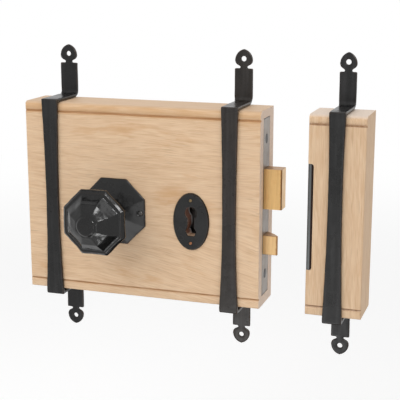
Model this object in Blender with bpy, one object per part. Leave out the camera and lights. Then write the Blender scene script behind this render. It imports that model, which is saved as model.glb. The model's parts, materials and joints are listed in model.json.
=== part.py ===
"""An oak box lock and its keep, modelled for Blender 4.5 in metres.

The lock is a nine by seven inch oak block that hangs on two iron straps. A steel lock case is let into its
right-hand end: a knob turns a follower that draws the latch, and a key throws the deadbolt past three levers.
The keep is a narrower block that takes both bolts and stands beside the lock.

The frame is X to the right, Y towards the door and Z up. Its origin is the centre of the oak block's back
face, so the whole lock lies at negative Y, and the straps' ends lie on the plane Y = 0 as the block does.
"""

import math

import bmesh
import bpy
from mathutils import Matrix, Vector

# Clearance between pieces that touch, and between pieces that slide on each other
GAP = 0.0003
# How far a cutter runs past the surface that it opens
OVERRUN = 0.002

# Oak block
BLOCK_WIDTH = 0.226
BLOCK_HEIGHT = 0.178
BLOCK_DEPTH = 0.043
BLOCK_CHAMFER = 0.0005
BLOCK_CORNER = 0.0012
TOP_BEAD_RADIUS = 0.0048
LOWER_BEAD_HEIGHT = 0.0092
LOWER_BEAD_RADIUS = 0.0030
LOWER_BEAD_CORNER = 0.0016
QUIRK_DEPTH = 0.0016
QUIRK_WIDTH = 0.0008
FACE_EDGE_FILLET = 0.0003

# Iron straps: a flat bar bent over the block, with a pierced finial flat on the door at each end
# Each was forged by hand, so its upper width, the height of its waist and its slack below the oak differ
STRAP_LEFT_INSET = 0.0262
STRAP_RIGHT_INSET = 0.0276
STRAP_UPPER_TAB = 0.0169
STRAP_LOWER_TAB = 0.0170
STRAP_LEFT_TOP = 0.0162
STRAP_RIGHT_TOP = 0.0156
STRAP_WAIST = 0.0124
STRAP_FOOT = 0.0175
STRAP_LEFT_WAIST_HEIGHT = 0.0
STRAP_RIGHT_WAIST_HEIGHT = -0.0110
STRAP_LEFT_SLACK = 0.0020
STRAP_RIGHT_SLACK = 0.0027
KEEP_STRAP_UPPER_TAB = 0.0152
KEEP_STRAP_TOP = 0.0147
KEEP_STRAP_WAIST_HEIGHT = 0.0260
KEEP_STRAP_SLACK = 0.0026
STRAP_THICKNESS = 0.0030
STRAP_TAB = 0.0325
STRAP_BACK_BEND = 0.0030
STRAP_FRONT_BEND = 0.0005
STRAP_FRONT_CORNER = 0.0016
STRAP_EDGE = 0.0003
STRAP_TAB_MARGIN = 0.0010
FINIAL_LENGTH = 0.0172
FINIAL_HALF_WIDTH = 0.0082
KEEP_FINIAL_HALF_WIDTH = 0.0076
FINIAL_LOBE = 0.0045
FINIAL_WIDEST = 0.0070
FINIAL_NECK = 0.0031
FINIAL_NECK_RISE = 0.0017
FINIAL_TIP = 0.0012
FINIAL_HOLE = 0.0047
FINIAL_HOLE_RISE = 0.0085

# Keep
KEEP_DISTANCE = 0.042
KEEP_WIDTH = 0.0495
KEEP_PLATE_HEIGHT = 0.1180
KEEP_PLATE_CENTRE = -0.0008
KEEP_PLATE_THICKNESS = 0.0016
KEEP_PLATE_MARGIN = 0.0050
KEEP_PLATE_DEPTH = 0.0300
KEEP_LIP_HEIGHT = 0.0938
KEEP_LIP_WIDTH = 0.0048
KEEP_LIP_CORNER = 0.0022
KEEP_LIP_BEND = 0.0020
KEEP_POCKET_DEPTH = 0.0220
KEEP_WINDOW_PLAY = 0.0010
KEEP_SCREW_INSET = 0.0060
KEEP_SCREW_LENGTH = 0.0220
KEEP_SCREW_HEAD = 0.0036
KEEP_SCREW_SHANK = 0.0016

# Knob, rose and spindle
KNOB_X = -0.0250
KNOB_Z = -0.0085
KNOB_ACROSS_FLATS = 0.0582
KNOB_RIM = 0.0028
KNOB_RIM_DISTANCE = 0.0440
KNOB_RIM_BEVEL = 0.0027
KNOB_FLUTE = 0.0007
KNOB_BACK_LIP = 0.0030
KNOB_BACK_INSET = 0.0029
KNOB_NECK_RADIUS = 0.0100
KNOB_NECK_LENGTH = 0.0170
KNOB_SHOULDER_RADIUS = 0.0130
KNOB_SHOULDER_LENGTH = 0.0020
KNOB_DOME = 0.0137
KNOB_DOME_RADIUS = 0.0099
KNOB_DOME_CROWN = 0.0009
KNOB_BOSS_RADIUS = 0.0089
KNOB_BOSS_RISE = 0.0016
KNOB_BOSS_EDGE = 0.0011
GRUB_SCREW_RADIUS = 0.0020
GRUB_SCREW_DISTANCE = 0.0105
GRUB_SCREW_SLOT = 0.0008
ROSE_EDGE = 0.0014
ROSE_RISE = 0.0062
ROSE_COLLAR_RADIUS = 0.0128
ROSE_SCREW_SPACING = 0.0530
ROSE_SCREW_MARGIN = 0.0040
ROSE_SCREW_LENGTH = 0.0095
ROSE_SCREW_HEAD = 0.0021
ROSE_SCREW_SHANK = 0.0010
ROSE_SCREW_CROWN = 0.0006
SPINDLE_SIDE = 0.0080
SPINDLE_SOCKET = 0.0230
SPINDLE_INSET = 0.0010
SPINDLE_HOLE_PLAY = 0.0010
KNOB_TURN = 40.0

# Escutcheon and keyhole
KEY_X = 0.0495
KEY_Z = -0.0050
ESCUTCHEON_WIDTH = 0.0346
ESCUTCHEON_HEIGHT = 0.0533
ESCUTCHEON_DROP = 0.0080
ESCUTCHEON_THICKNESS = 0.0020
ESCUTCHEON_BEVEL = 0.0010
ESCUTCHEON_PIN_SPACING = 0.0394
PIN_LENGTH = 0.0080
PIN_HEAD = 0.0015
PIN_CROWN = 0.0008
PIN_SHANK = 0.0008
PIN_POINT = 0.0015
KEYHOLE_RADIUS = 0.0058
KEYHOLE_NECK = 0.0062
KEYHOLE_FOOT = 0.0104
KEYHOLE_TOE = 0.0060
KEYHOLE_FLARE_DROP = 0.0125
KEYHOLE_FOOT_DROP = 0.0172
KEYHOLE_DEPTH = 0.0212
KEY_BIT_RADIUS = 0.0200

# Steel lock case, let into the block from its right-hand end
CASE_LEFT = -0.0580
CASE_BOTTOM = -0.0500
CASE_TOP = 0.0440
CASE_FRONT_WALL = 0.0103
CASE_THICKNESS = 0.0184
CASE_PLATE = 0.0016
FOREND_HEIGHT = 0.1610
FOREND_CENTRE = 0.0010
FOREND_WIDTH = 0.0205
FOREND_THICKNESS = 0.0030
FOREND_LOW_SCREW_RISE = 0.0037
FOREND_SCREW_LENGTH = 0.0250
FOREND_SCREW_HEAD = 0.0043
FOREND_SCREW_SHANK = 0.0019
COVER_SCREW_PILLAR = 0.0034
COVER_SCREW_CLEARANCE = 0.0012
COVER_SCREW_SETBACK = 0.0100
COVER_SCREW_LENGTH = 0.0080
COVER_SCREW_HEAD = 0.0026
COVER_SCREW_SHANK = 0.0012

# Bolts
BOLT_THICKNESS = 0.0144
DEADBOLT_BOTTOM = 0.0005
DEADBOLT_HEIGHT = 0.0362
DEADBOLT_THROW = 0.0163
DEADBOLT_HEAD = 0.0360
DEADBOLT_CHAMFER = 0.0006
DEADBOLT_TAIL_LENGTH = 0.0970
DEADBOLT_TAIL_HEIGHT = 0.0220
DEADBOLT_TAIL_RISE = 0.0095
DEADBOLT_TAIL_THICKNESS = 0.0035
TALON_WIDTH = 0.0120
TALON_SLACK = 0.0006
LATCH_CENTRE = -0.03255
LATCH_HEIGHT = 0.0175
LATCH_STANDS_OUT = 0.0131
LATCH_TRAVEL = 0.0127
LATCH_HEAD = 0.0290
LATCH_NOSE = 0.0018
LATCH_HEEL = 0.0008
LATCH_BULGE = 0.0011
LATCH_RIVET_RADIUS = 0.0018
LATCH_RIVET_DEPTH = 0.0050
LATCH_TAIL_HEIGHT = 0.0110
LATCH_TAIL_THICKNESS = 0.0025
LATCH_TAIL_LAP = 0.0065

# Follower and the stirrup that it pulls
FOLLOWER_RADIUS = 0.0090
FOLLOWER_JOURNAL = 0.0075
WING_PLAY = 0.0006
FOLLOWER_WING_WIDTH = 0.0080
FOLLOWER_WING_THICKNESS = 0.0075
STIRRUP_THICKNESS = 0.0030
STIRRUP_DROP = 0.0100

# Levers, pivoted together on one post
LEVER_COUNT = 3
LEVER_THICKNESS = 0.0026
LEVER_PITCH = 0.0030
LEVER_POST_X = 0.0150
LEVER_POST_Z = 0.0200
LEVER_POST_RADIUS = 0.0025
LEVER_BOSS_RADIUS = 0.0062
LEVER_REACH = 0.0590
LEVER_BELLY = (0.0176, 0.0184, 0.0192)
LEVER_DROP = 3.5
LEVER_LIFT = 2.5
LEVER_SPINE = 0.0030
LEVER_SHOULDER = 0.0120
STUMP_SIDE = 0.0050
STUMP_X = 0.0620
STUMP_Z = 0.0250
STUMP_FOOT_RADIUS = 0.0018
GATE_PLAY = 0.0005

# Springs
LATCH_SPRING_RADIUS = 0.0035
LATCH_SPRING_WIRE = 0.0009
LATCH_SPRING_TURNS = 9
LATCH_SPRING_LENGTH = 0.0350
LATCH_SPRING_OFFSET = 0.0004
LEAF_THICKNESS = 0.0005
LEAF_START = 0.0160
LEAF_LENGTH = 0.0330

# Round pieces
ROUND = 32
SMALL_ROUND = 16

# Places that follow from the sizes above
RIGHT_END = BLOCK_WIDTH / 2
BLOCK_TOP = BLOCK_HEIGHT / 2
CASE_RIGHT = RIGHT_END - FOREND_THICKNESS - GAP
CASE_FRONT = -BLOCK_DEPTH + CASE_FRONT_WALL + GAP
CASE_BACK = CASE_FRONT + CASE_THICKNESS
COVER_BACK = CASE_FRONT + CASE_PLATE
CAVITY_FRONT = COVER_BACK + GAP
CAVITY_BACK = CASE_BACK - CASE_PLATE
BOLT_CENTRE = (CAVITY_FRONT + CAVITY_BACK) / 2
DEADBOLT_TIP = RIGHT_END + DEADBOLT_THROW
DEADBOLT_ROOT = DEADBOLT_TIP - DEADBOLT_HEAD
DEADBOLT_CENTRE = DEADBOLT_BOTTOM + DEADBOLT_HEIGHT / 2
TAIL_BOTTOM = DEADBOLT_BOTTOM + DEADBOLT_TAIL_RISE
LATCH_TIP = RIGHT_END + LATCH_STANDS_OUT
LATCH_ROOT = LATCH_TIP - LATCH_HEAD
KEEP_LEFT = RIGHT_END + KEEP_DISTANCE
KEEP_CENTRE = KEEP_LEFT + KEEP_WIDTH / 2
ROSE_ACROSS_FLATS = ROSE_SCREW_SPACING + 2 * ROSE_SCREW_MARGIN
# The wing's tip moves sideways by the latch's travel while the knob makes its turn
FOLLOWER_WING = LATCH_TRAVEL / math.sin(math.radians(KNOB_TURN)) - WING_PLAY

OAK = {"color": (0.68, 0.48, 0.30), "roughness": 0.62, "metallic": 0.0}
IRON = {"color": (0.035, 0.034, 0.034), "roughness": 0.42, "metallic": 0.6}
BRONZE_BLACK = {"color": (0.032, 0.031, 0.031), "roughness": 0.25, "metallic": 0.7}
STEEL = {"color": (0.30, 0.28, 0.26), "roughness": 0.35, "metallic": 1.0}
DARK_STEEL = {"color": (0.10, 0.10, 0.10), "roughness": 0.40, "metallic": 0.9}
BRASS = {"color": (0.62, 0.42, 0.15), "roughness": 0.28, "metallic": 1.0}
COPPER = {"color": (0.45, 0.22, 0.12), "roughness": 0.35, "metallic": 1.0}


def clear_scene():
    for thing in list(bpy.data.objects):
        bpy.data.objects.remove(thing, do_unlink=True)


def finish_of(name, look):
    """The material of that name, made on its first use."""
    material = bpy.data.materials.get(name)
    if material is None:
        material = bpy.data.materials.new(name)
        material.use_nodes = True
        shader = material.node_tree.nodes["Principled BSDF"]
        shader.inputs["Base Color"].default_value = (*look["color"], 1.0)
        shader.inputs["Roughness"].default_value = look["roughness"]
        shader.inputs["Metallic"].default_value = look["metallic"]
    return material


def add_object(name, bm, look_name, look, smooth=False):
    """Link a finished bmesh as an object with its own material."""
    bmesh.ops.recalc_face_normals(bm, faces=bm.faces)
    mesh = bpy.data.meshes.new(name)
    bm.to_mesh(mesh)
    bm.free()
    if smooth:
        mesh.shade_smooth()
        mesh.set_sharp_from_angle(angle=math.radians(35))
    mesh.materials.append(finish_of(look_name, look))
    thing = bpy.data.objects.new(name, mesh)
    bpy.context.scene.collection.objects.link(thing)
    return thing


def arc(centre, radius, start, end, steps):
    """Points on an arc, from one angle in degrees to another."""
    points = []
    for index in range(steps + 1):
        angle = math.radians(start + (end - start) * index / steps)
        points.append((centre[0] + radius * math.cos(angle), centre[1] + radius * math.sin(angle)))
    return points


def bulged(start, end, bulge, steps):
    """Points on a shallow curve from start to end, which stands out to the right of the chord by a bulge."""
    a = Vector(start)
    b = Vector(end)
    chord = b - a
    outward = Vector((chord.y, -chord.x)).normalized()
    points = []
    for index in range(steps + 1):
        share = index / steps
        point = a + chord * share + outward * 4 * bulge * share * (1 - share)
        points.append((point.x, point.y))
    return points


def rounded(corners, steps=4):
    """An outline from corners (a, b, fillet radius), with each fillet tangent to its two sides."""
    points = []
    for index, (a, b, radius) in enumerate(corners):
        corner = Vector((a, b))
        if radius <= 0:
            points.append((a, b))
            continue
        before = (Vector(corners[index - 1][:2]) - corner).normalized()
        after = (Vector(corners[(index + 1) % len(corners)][:2]) - corner).normalized()
        half_angle = before.angle(after) / 2
        centre = corner + (before + after).normalized() * radius / math.sin(half_angle)
        setback = radius / math.tan(half_angle)
        first = corner + before * setback - centre
        last = corner + after * setback - centre
        for step in range(steps + 1):
            point = centre + radius * first.slerp(last, step / steps)
            points.append((point.x, point.y))
    return points


def rectangle(a_low, a_high, b_low, b_high, radius=0.0):
    """A rectangle's corners, with the same fillet at each."""
    corners = [(a_low, b_low), (a_high, b_low), (a_high, b_high), (a_low, b_high)]
    return rounded([(a, b, radius) for a, b in corners])


def lift(axis, distance, a, b):
    """The point at a distance along an axis, with a and b on the other two axes in X, Y, Z order."""
    if axis == "X":
        return Vector((distance, a, b))
    if axis == "Y":
        return Vector((a, distance, b))
    return Vector((a, b, distance))


def prism(name, outline, axis, low, high, look_name, look):
    """A closed outline pushed along an axis from low to high."""
    bm = bmesh.new()
    loop = [bm.verts.new(lift(axis, low, a, b)) for a, b in outline]
    face = bm.faces.new(loop)
    pushed = bmesh.ops.extrude_face_region(bm, geom=[face])
    moved = [item for item in pushed["geom"] if isinstance(item, bmesh.types.BMVert)]
    bmesh.ops.translate(bm, verts=moved, vec=lift(axis, high - low, 0.0, 0.0))
    return add_object(name, bm, look_name, look)


def turned(name, profile, axis, centre, look_name, look, sides=ROUND, smooth=True):
    """A profile of (distance along the axis, radius) turned about that axis, through centre on the other two.

    The first vertex of each ring stands half a side round from the first cross axis, so that a piece with
    few sides shows flats to the right and on top.
    """
    bm = bmesh.new()
    phase = math.pi / sides
    points = []
    for distance, radius in profile:
        a = centre[0] + radius * math.cos(phase)
        b = centre[1] + radius * math.sin(phase)
        points.append(bm.verts.new(lift(axis, distance, a, b)))
    edges = [bm.edges.new(pair) for pair in zip(points, points[1:])]
    bmesh.ops.spin(
        bm,
        geom=points + edges,
        cent=lift(axis, 0.0, *centre),
        axis=lift(axis, 1.0, 0.0, 0.0),
        angle=math.tau,
        steps=sides,
        use_merge=True,
    )
    bmesh.ops.remove_doubles(bm, verts=bm.verts, dist=1e-6)
    return add_object(name, bm, look_name, look, smooth)


def cut(thing, cutter):
    """Take a cutter away from a piece."""
    hide(cutter)
    difference = thing.modifiers.new("cut " + cutter.name, "BOOLEAN")
    difference.operation = "DIFFERENCE"
    difference.object = cutter


def join(thing, extra):
    """Make a piece and an extra shape one solid."""
    hide(extra)
    union = thing.modifiers.new("join " + extra.name, "BOOLEAN")
    union.operation = "UNION"
    union.object = extra


def keep_common(thing, other):
    """Keep only what a piece has in common with another shape."""
    hide(other)
    common = thing.modifiers.new("common " + other.name, "BOOLEAN")
    common.operation = "INTERSECT"
    common.object = other


def hide(guide):
    guide.hide_render = True
    guide.display_type = "WIRE"


def soften(thing, width, segments=1, angle=32.0):
    """Break a piece's edges."""
    bevel = thing.modifiers.new("softened edges", "BEVEL")
    bevel.width = width
    bevel.segments = segments
    bevel.limit_method = "ANGLE"
    bevel.angle_limit = math.radians(angle)
    bevel.use_clamp_overlap = True


def bore(thing, name, axis, centre, radius, low, high, sides=ROUND):
    """Drill a round hole along an axis."""
    profile = [(low, 0.0), (low, radius), (high, radius), (high, 0.0)]
    cut(thing, turned(name, profile, axis, centre, "guide", STEEL, sides))


def slot(thing, name, outline, axis, low, high):
    """Cut a hole of any outline along an axis."""
    cut(thing, prism(name, outline, axis, low, high, "guide", STEEL))


def place_on_axis(thing, point, parent=None):
    """Move a piece's origin to a point of its joint's axis, and hang it on the joint's empty."""
    thing.data.transform(Matrix.Translation(-Vector(point)))
    thing.location = point
    if parent is not None:
        thing.parent = parent
        thing.location = Vector(point) - parent.location


def joint_empty(name, point):
    empty = bpy.data.objects.new(name, None)
    empty.location = point
    bpy.context.scene.collection.objects.link(empty)
    return empty


def screw(name, axis, centre, face, length, head_radius, head_height, shank_radius, inward, look_name, look):
    """A slotted countersunk screw whose head lies in a face. inward is +1 or -1 along the axis."""
    cone = head_radius - shank_radius
    profile = [
        (face - inward * head_height, 0.0),
        (face - inward * head_height, head_radius * 0.80),
        (face, head_radius),
        (face + inward * cone, shank_radius),
        (face + inward * (length - shank_radius), shank_radius),
        (face + inward * length, 0.0),
    ]
    body = turned(name, profile, axis, centre, look_name, look, SMALL_ROUND)
    half_slot = head_radius * 0.14
    reach = head_radius * 1.2
    outer = face - inward * (head_height + OVERRUN)
    floor = face + inward * head_radius * 0.28
    low, high = sorted((outer, floor))
    outline = rectangle(centre[0] - half_slot, centre[0] + half_slot, centre[1] - reach, centre[1] + reach)
    slot(body, name + "_slot", outline, axis, low, high)
    return body


def screw_seat(thing, name, axis, centre, face, length, head_radius, shank_radius, inward):
    """The countersink and the hole that such a screw sits in, a gap wider all round."""
    cone = head_radius - shank_radius
    profile = [
        (face - inward * OVERRUN, 0.0),
        (face - inward * OVERRUN, head_radius + GAP + OVERRUN),
        (face, head_radius + GAP),
        (face + inward * cone, shank_radius + GAP),
        (face + inward * (length + GAP), shank_radius + GAP),
        (face + inward * (length + GAP), 0.0),
    ]
    cut(thing, turned(name, profile, axis, centre, "guide", STEEL, SMALL_ROUND))


def block_section():
    """The section of the oak in Y and Z: a full bead along the top and a slighter one along the bottom.

    Each bead curves back into its quirk, a narrow groove from which a square edge steps out to the face.
    """
    front = -BLOCK_DEPTH
    floor = front + QUIRK_DEPTH
    top_reach = math.acos(1 - QUIRK_DEPTH / TOP_BEAD_RADIUS)
    top_centre = BLOCK_TOP - TOP_BEAD_RADIUS
    face_top = top_centre - TOP_BEAD_RADIUS * math.sin(top_reach) - QUIRK_WIDTH
    face_bottom = LOWER_BEAD_HEIGHT - BLOCK_TOP
    lower_reach = math.acos(1 - QUIRK_DEPTH / LOWER_BEAD_RADIUS)
    lower_centre = face_bottom - QUIRK_WIDTH - LOWER_BEAD_RADIUS * math.sin(lower_reach)
    top_round = arc(
        (front + TOP_BEAD_RADIUS, top_centre), TOP_BEAD_RADIUS, 90, 180 + math.degrees(top_reach), 11
    )
    lower_round = arc(
        (front + LOWER_BEAD_RADIUS, lower_centre), LOWER_BEAD_RADIUS, 180 - math.degrees(lower_reach), 180, 6
    )
    corners = [(0.0, -BLOCK_TOP, BLOCK_CHAMFER), (0.0, BLOCK_TOP, BLOCK_CHAMFER)]
    corners += [(y, z, 0.0) for y, z in top_round]
    corners += [
        (floor, face_top, 0.0),
        (front, face_top, FACE_EDGE_FILLET),
        (front, face_bottom, FACE_EDGE_FILLET),
        (floor, face_bottom, 0.0),
    ]
    corners += [(y, z, 0.0) for y, z in lower_round]
    corners.append((front, -BLOCK_TOP, LOWER_BEAD_CORNER))
    return rounded(corners)


def beaded_block(name, left, right, look_name):
    """An oak block of the beaded section, with its front corners rounded."""
    block = prism(name, block_section(), "X", left, right, look_name, OAK)
    front = -BLOCK_DEPTH
    plan = rounded(
        [
            (left, front, BLOCK_CORNER),
            (right, front, BLOCK_CORNER),
            (right, OVERRUN, 0.0),
            (left, OVERRUN, 0.0),
        ]
    )
    half = BLOCK_TOP + OVERRUN
    keep_common(block, prism(name + "_plan", plan, "Z", -half, half, "guide", STEEL))
    return block


def keyhole_outline(play):
    """A round top for the stem over a straight slot that flares into a foot for the bit."""
    radius = KEYHOLE_RADIUS + play
    neck = KEYHOLE_NECK / 2 + play
    foot = KEYHOLE_FOOT / 2 + play
    toe = KEYHOLE_TOE / 2 + play
    opening = math.degrees(math.asin(neck / radius))
    points = arc((KEY_X, KEY_Z), radius, opening - 90, 270 - opening, 20)
    flare = KEY_Z - KEYHOLE_FLARE_DROP
    widest = KEY_Z - KEYHOLE_FOOT_DROP
    low = KEY_Z - KEYHOLE_DEPTH - play
    return points + [
        (KEY_X - neck, flare),
        (KEY_X - foot, widest),
        (KEY_X - toe, low),
        (KEY_X + toe, low),
        (KEY_X + foot, widest),
        (KEY_X + neck, flare),
    ]


def strap_side_section(slack):
    """The bent bar from its side, in Y and Z: a tab, a foot over the block, its front and the same below.

    Its lower foot hangs a slack below the oak.
    """
    foot = BLOCK_TOP + GAP
    lower_foot = foot + slack
    front = -BLOCK_DEPTH - GAP
    thick = STRAP_THICKNESS
    end = BLOCK_TOP + STRAP_TAB + FINIAL_LENGTH + OVERRUN
    back_inner = STRAP_BACK_BEND
    back_outer = STRAP_BACK_BEND + thick
    front_inner = STRAP_FRONT_BEND
    front_outer = STRAP_FRONT_CORNER
    return rounded(
        [
            (0.0, end, 0.0),
            (0.0, foot, back_outer),
            (front, foot, front_inner),
            (front, -lower_foot, front_inner),
            (0.0, -lower_foot, back_outer),
            (0.0, -end, 0.0),
            (-thick, -end, 0.0),
            (-thick, -lower_foot - thick, back_inner),
            (front - thick, -lower_foot - thick, front_outer),
            (front - thick, foot + thick, front_outer),
            (-thick, foot + thick, back_inner),
            (-thick, end, 0.0),
        ]
    )


def finial_half(half_width):
    """The right half of a finial from its neck to its tip: a heart-shaped foot under a pointed arch."""
    rise = FINIAL_LENGTH - FINIAL_WIDEST
    arch = (half_width**2 + rise**2) / (2 * half_width)
    tip_angle = math.degrees(math.acos((arch - half_width + FINIAL_TIP) / arch))
    lobe = arc((half_width - FINIAL_LOBE, FINIAL_WIDEST), FINIAL_LOBE, -60, 0, 5)
    side = arc((half_width - arch, FINIAL_WIDEST), arch, 0, tip_angle, 7)
    return [(FINIAL_NECK, 0.0), (FINIAL_NECK, FINIAL_NECK_RISE)] + lobe + side[1:] + [(0.0, FINIAL_LENGTH)]


def strap_side_line(top, waist_height):
    """The half widths down the front of a bar, which flares from its waist to its top and to its foot."""
    line = []
    steps = 16
    reach = BLOCK_TOP + STRAP_THICKNESS / 2
    for index in range(steps + 1):
        height = reach * (1 - 2 * index / steps)
        end, end_height = (top, reach) if height > waist_height else (STRAP_FOOT, -reach)
        share = (height - waist_height) / (end_height - waist_height)
        line.append(((STRAP_WAIST + (end - STRAP_WAIST) * share**2) / 2, height))
    return line


def strap_front_outline(centre, slack, upper_tab, top, waist_height, finial_half_width):
    """The bar seen from the front, in X and Z: waisted over the block, with a finial at each end."""
    shoulder = BLOCK_TOP + STRAP_TAB
    tab = BLOCK_TOP + GAP + STRAP_THICKNESS + STRAP_BACK_BEND + STRAP_TAB_MARGIN
    upper_finial = [(half, shoulder + rise) for half, rise in finial_half(finial_half_width)]
    lower_finial = [(half, -shoulder - rise) for half, rise in finial_half(FINIAL_HALF_WIDTH)]
    right = list(reversed(upper_finial))
    right += [(upper_tab / 2, shoulder), (upper_tab / 2, tab)]
    right += strap_side_line(top, waist_height)
    right += [(STRAP_LOWER_TAB / 2, -tab - slack), (STRAP_LOWER_TAB / 2, -shoulder)]
    right += lower_finial
    left = [(-half, height) for half, height in reversed(right)]
    return [(centre + half, height) for half, height in right + left[1:-1]]


def make_strap(name, centre, slack, upper_tab, top, waist_height, finial_half_width=FINIAL_HALF_WIDTH):
    """A strap is what its side section and its front outline have in common."""
    half = STRAP_FOOT
    strap = prism(name, strap_side_section(slack), "X", centre - half, centre + half, "strap_iron", IRON)
    depth = BLOCK_DEPTH + STRAP_THICKNESS + OVERRUN
    front_view = strap_front_outline(centre, slack, upper_tab, top, waist_height, finial_half_width)
    keep_common(strap, prism(name + "_outline", front_view, "Y", -depth, OVERRUN, "guide", STEEL))
    for side in (-1, 1):
        height = side * (BLOCK_TOP + STRAP_TAB + FINIAL_HOLE_RISE)
        end = "_upper_hole" if side > 0 else "_lower_hole"
        through = (-STRAP_THICKNESS - OVERRUN, OVERRUN)
        bore(strap, name + end, "Y", (centre, height), FINIAL_HOLE / 2, *through, SMALL_ROUND)
    soften(strap, STRAP_EDGE, angle=40)


def make_block():
    """The oak block, with a pocket for the steel case and a rebate for the forend."""
    block = beaded_block("oak_case", -RIGHT_END, RIGHT_END, "oak")
    pocket = rectangle(CASE_FRONT - GAP, CASE_BACK + GAP, CASE_BOTTOM - GAP, CASE_TOP + GAP)
    slot(block, "case_pocket", pocket, "X", CASE_LEFT - GAP, RIGHT_END + OVERRUN)
    half = FOREND_WIDTH / 2 + GAP
    rebate = rectangle(
        BOLT_CENTRE - half,
        BOLT_CENTRE + half,
        FOREND_CENTRE - FOREND_HEIGHT / 2 - GAP,
        FOREND_CENTRE + FOREND_HEIGHT / 2 + GAP,
    )
    slot(block, "forend_rebate", rebate, "X", RIGHT_END - FOREND_THICKNESS - GAP, RIGHT_END + OVERRUN)
    through = (-BLOCK_DEPTH - OVERRUN, OVERRUN)
    bore(block, "spindle_hole", "Y", (KNOB_X, KNOB_Z), FOLLOWER_JOURNAL + SPINDLE_HOLE_PLAY, *through)
    slot(block, "block_keyhole", keyhole_outline(GAP), "Y", *through)
    return block


def keyhole_in(thing, name, low, high, play=GAP):
    slot(thing, name, keyhole_outline(play), "Y", low - OVERRUN, high + OVERRUN)


def make_lock_case(block):
    """A steel tray that opens to the front, with its pillars, the lever post's hole and the spring's stop."""
    outer = rectangle(CASE_LEFT, CASE_RIGHT, CASE_BOTTOM, CASE_TOP)
    case = prism("lock_case", outer, "Y", CAVITY_FRONT, CASE_BACK, "case_steel", STEEL)
    inner = rectangle(
        CASE_LEFT + CASE_PLATE, CASE_RIGHT - CASE_PLATE, CASE_BOTTOM + CASE_PLATE, CASE_TOP - CASE_PLATE
    )
    slot(case, "case_cavity", inner, "Y", CAVITY_FRONT - OVERRUN, CAVITY_BACK)
    half = BOLT_THICKNESS / 2 + GAP
    for name, low, high in bolt_windows():
        window = rectangle(BOLT_CENTRE - half, BOLT_CENTRE + half, low, high)
        slot(case, "case_window_" + name, window, "X", CASE_RIGHT - 2 * CASE_PLATE, CASE_RIGHT + OVERRUN)
    for index, centre in enumerate(cover_screw_places(), start=1):
        profile = [
            (CAVITY_FRONT, 0.0),
            (CAVITY_FRONT, COVER_SCREW_PILLAR),
            (CAVITY_BACK + CASE_PLATE / 2, COVER_SCREW_PILLAR),
            (CAVITY_BACK + CASE_PLATE / 2, 0.0),
        ]
        join(case, turned(f"case_pillar_{index}", profile, "Y", centre, "guide", STEEL, SMALL_ROUND))
    stop_x = LATCH_ROOT - LATCH_SPRING_LENGTH - GAP
    stop_bottom = CASE_BOTTOM + CASE_PLATE / 2
    stop_top = LATCH_CENTRE + LATCH_SPRING_RADIUS
    stop = prism(
        "spring_stop",
        rectangle(stop_x - 2 * CASE_PLATE, stop_x, stop_bottom, stop_top),
        "Y",
        CAVITY_FRONT,
        CAVITY_BACK - 2 * GAP - LATCH_TAIL_THICKNESS,
        "guide",
        STEEL,
    )
    join(case, stop)
    journal = FOLLOWER_JOURNAL + GAP
    bore(case, "follower_hole_back", "Y", (KNOB_X, KNOB_Z), journal, CAVITY_BACK - OVERRUN, 0.0)
    post = (LEVER_POST_X, LEVER_POST_Z)
    bore(case, "post_hole", "Y", post, LEVER_POST_RADIUS + GAP, CAVITY_BACK - OVERRUN, 0.0, SMALL_ROUND)
    keyhole_in(case, "case_keyhole", CAVITY_BACK, CASE_BACK)
    return case


def bolt_windows():
    """Each bolt's name and the height of its window, a gap clear of the bolt."""
    return [
        ("deadbolt", DEADBOLT_BOTTOM - GAP, DEADBOLT_BOTTOM + DEADBOLT_HEIGHT + GAP),
        ("latch", LATCH_CENTRE - LATCH_HEIGHT / 2 - GAP, LATCH_CENTRE + LATCH_HEIGHT / 2 + GAP),
    ]


def cover_screw_places():
    inset = CASE_PLATE + COVER_SCREW_PILLAR + COVER_SCREW_CLEARANCE
    between_bolts = (DEADBOLT_BOTTOM + LATCH_CENTRE + LATCH_HEIGHT / 2) / 2
    return [
        (CASE_LEFT + inset, CASE_TOP - inset),
        (CASE_LEFT + inset, CASE_BOTTOM + inset),
        (CASE_RIGHT - inset - COVER_SCREW_SETBACK, between_bolts),
    ]


def make_lock_cover(case):
    """The plate screwed over the tray."""
    outline = rectangle(CASE_LEFT, CASE_RIGHT, CASE_BOTTOM, CASE_TOP, 0.0010)
    cover = prism("lock_cover", outline, "Y", CASE_FRONT, COVER_BACK, "case_steel", STEEL)
    span = (CASE_FRONT - OVERRUN, COVER_BACK + OVERRUN)
    bore(cover, "follower_hole_front", "Y", (KNOB_X, KNOB_Z), FOLLOWER_JOURNAL + GAP, *span)
    keyhole_in(cover, "cover_keyhole", CASE_FRONT, COVER_BACK)
    length = COVER_SCREW_LENGTH
    head = COVER_SCREW_HEAD
    shank = COVER_SCREW_SHANK
    for index, centre in enumerate(cover_screw_places(), start=1):
        name = f"cover_screw_{index}"
        screw(name, "Y", centre, CASE_FRONT, length, head, 0.0, shank, 1, "screw_steel", DARK_STEEL)
        screw_seat(cover, name + "_seat", "Y", centre, CASE_FRONT, length, head, shank, 1)
        screw_seat(case, name + "_thread", "Y", centre, CASE_FRONT, length, head, shank, 1)


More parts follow.
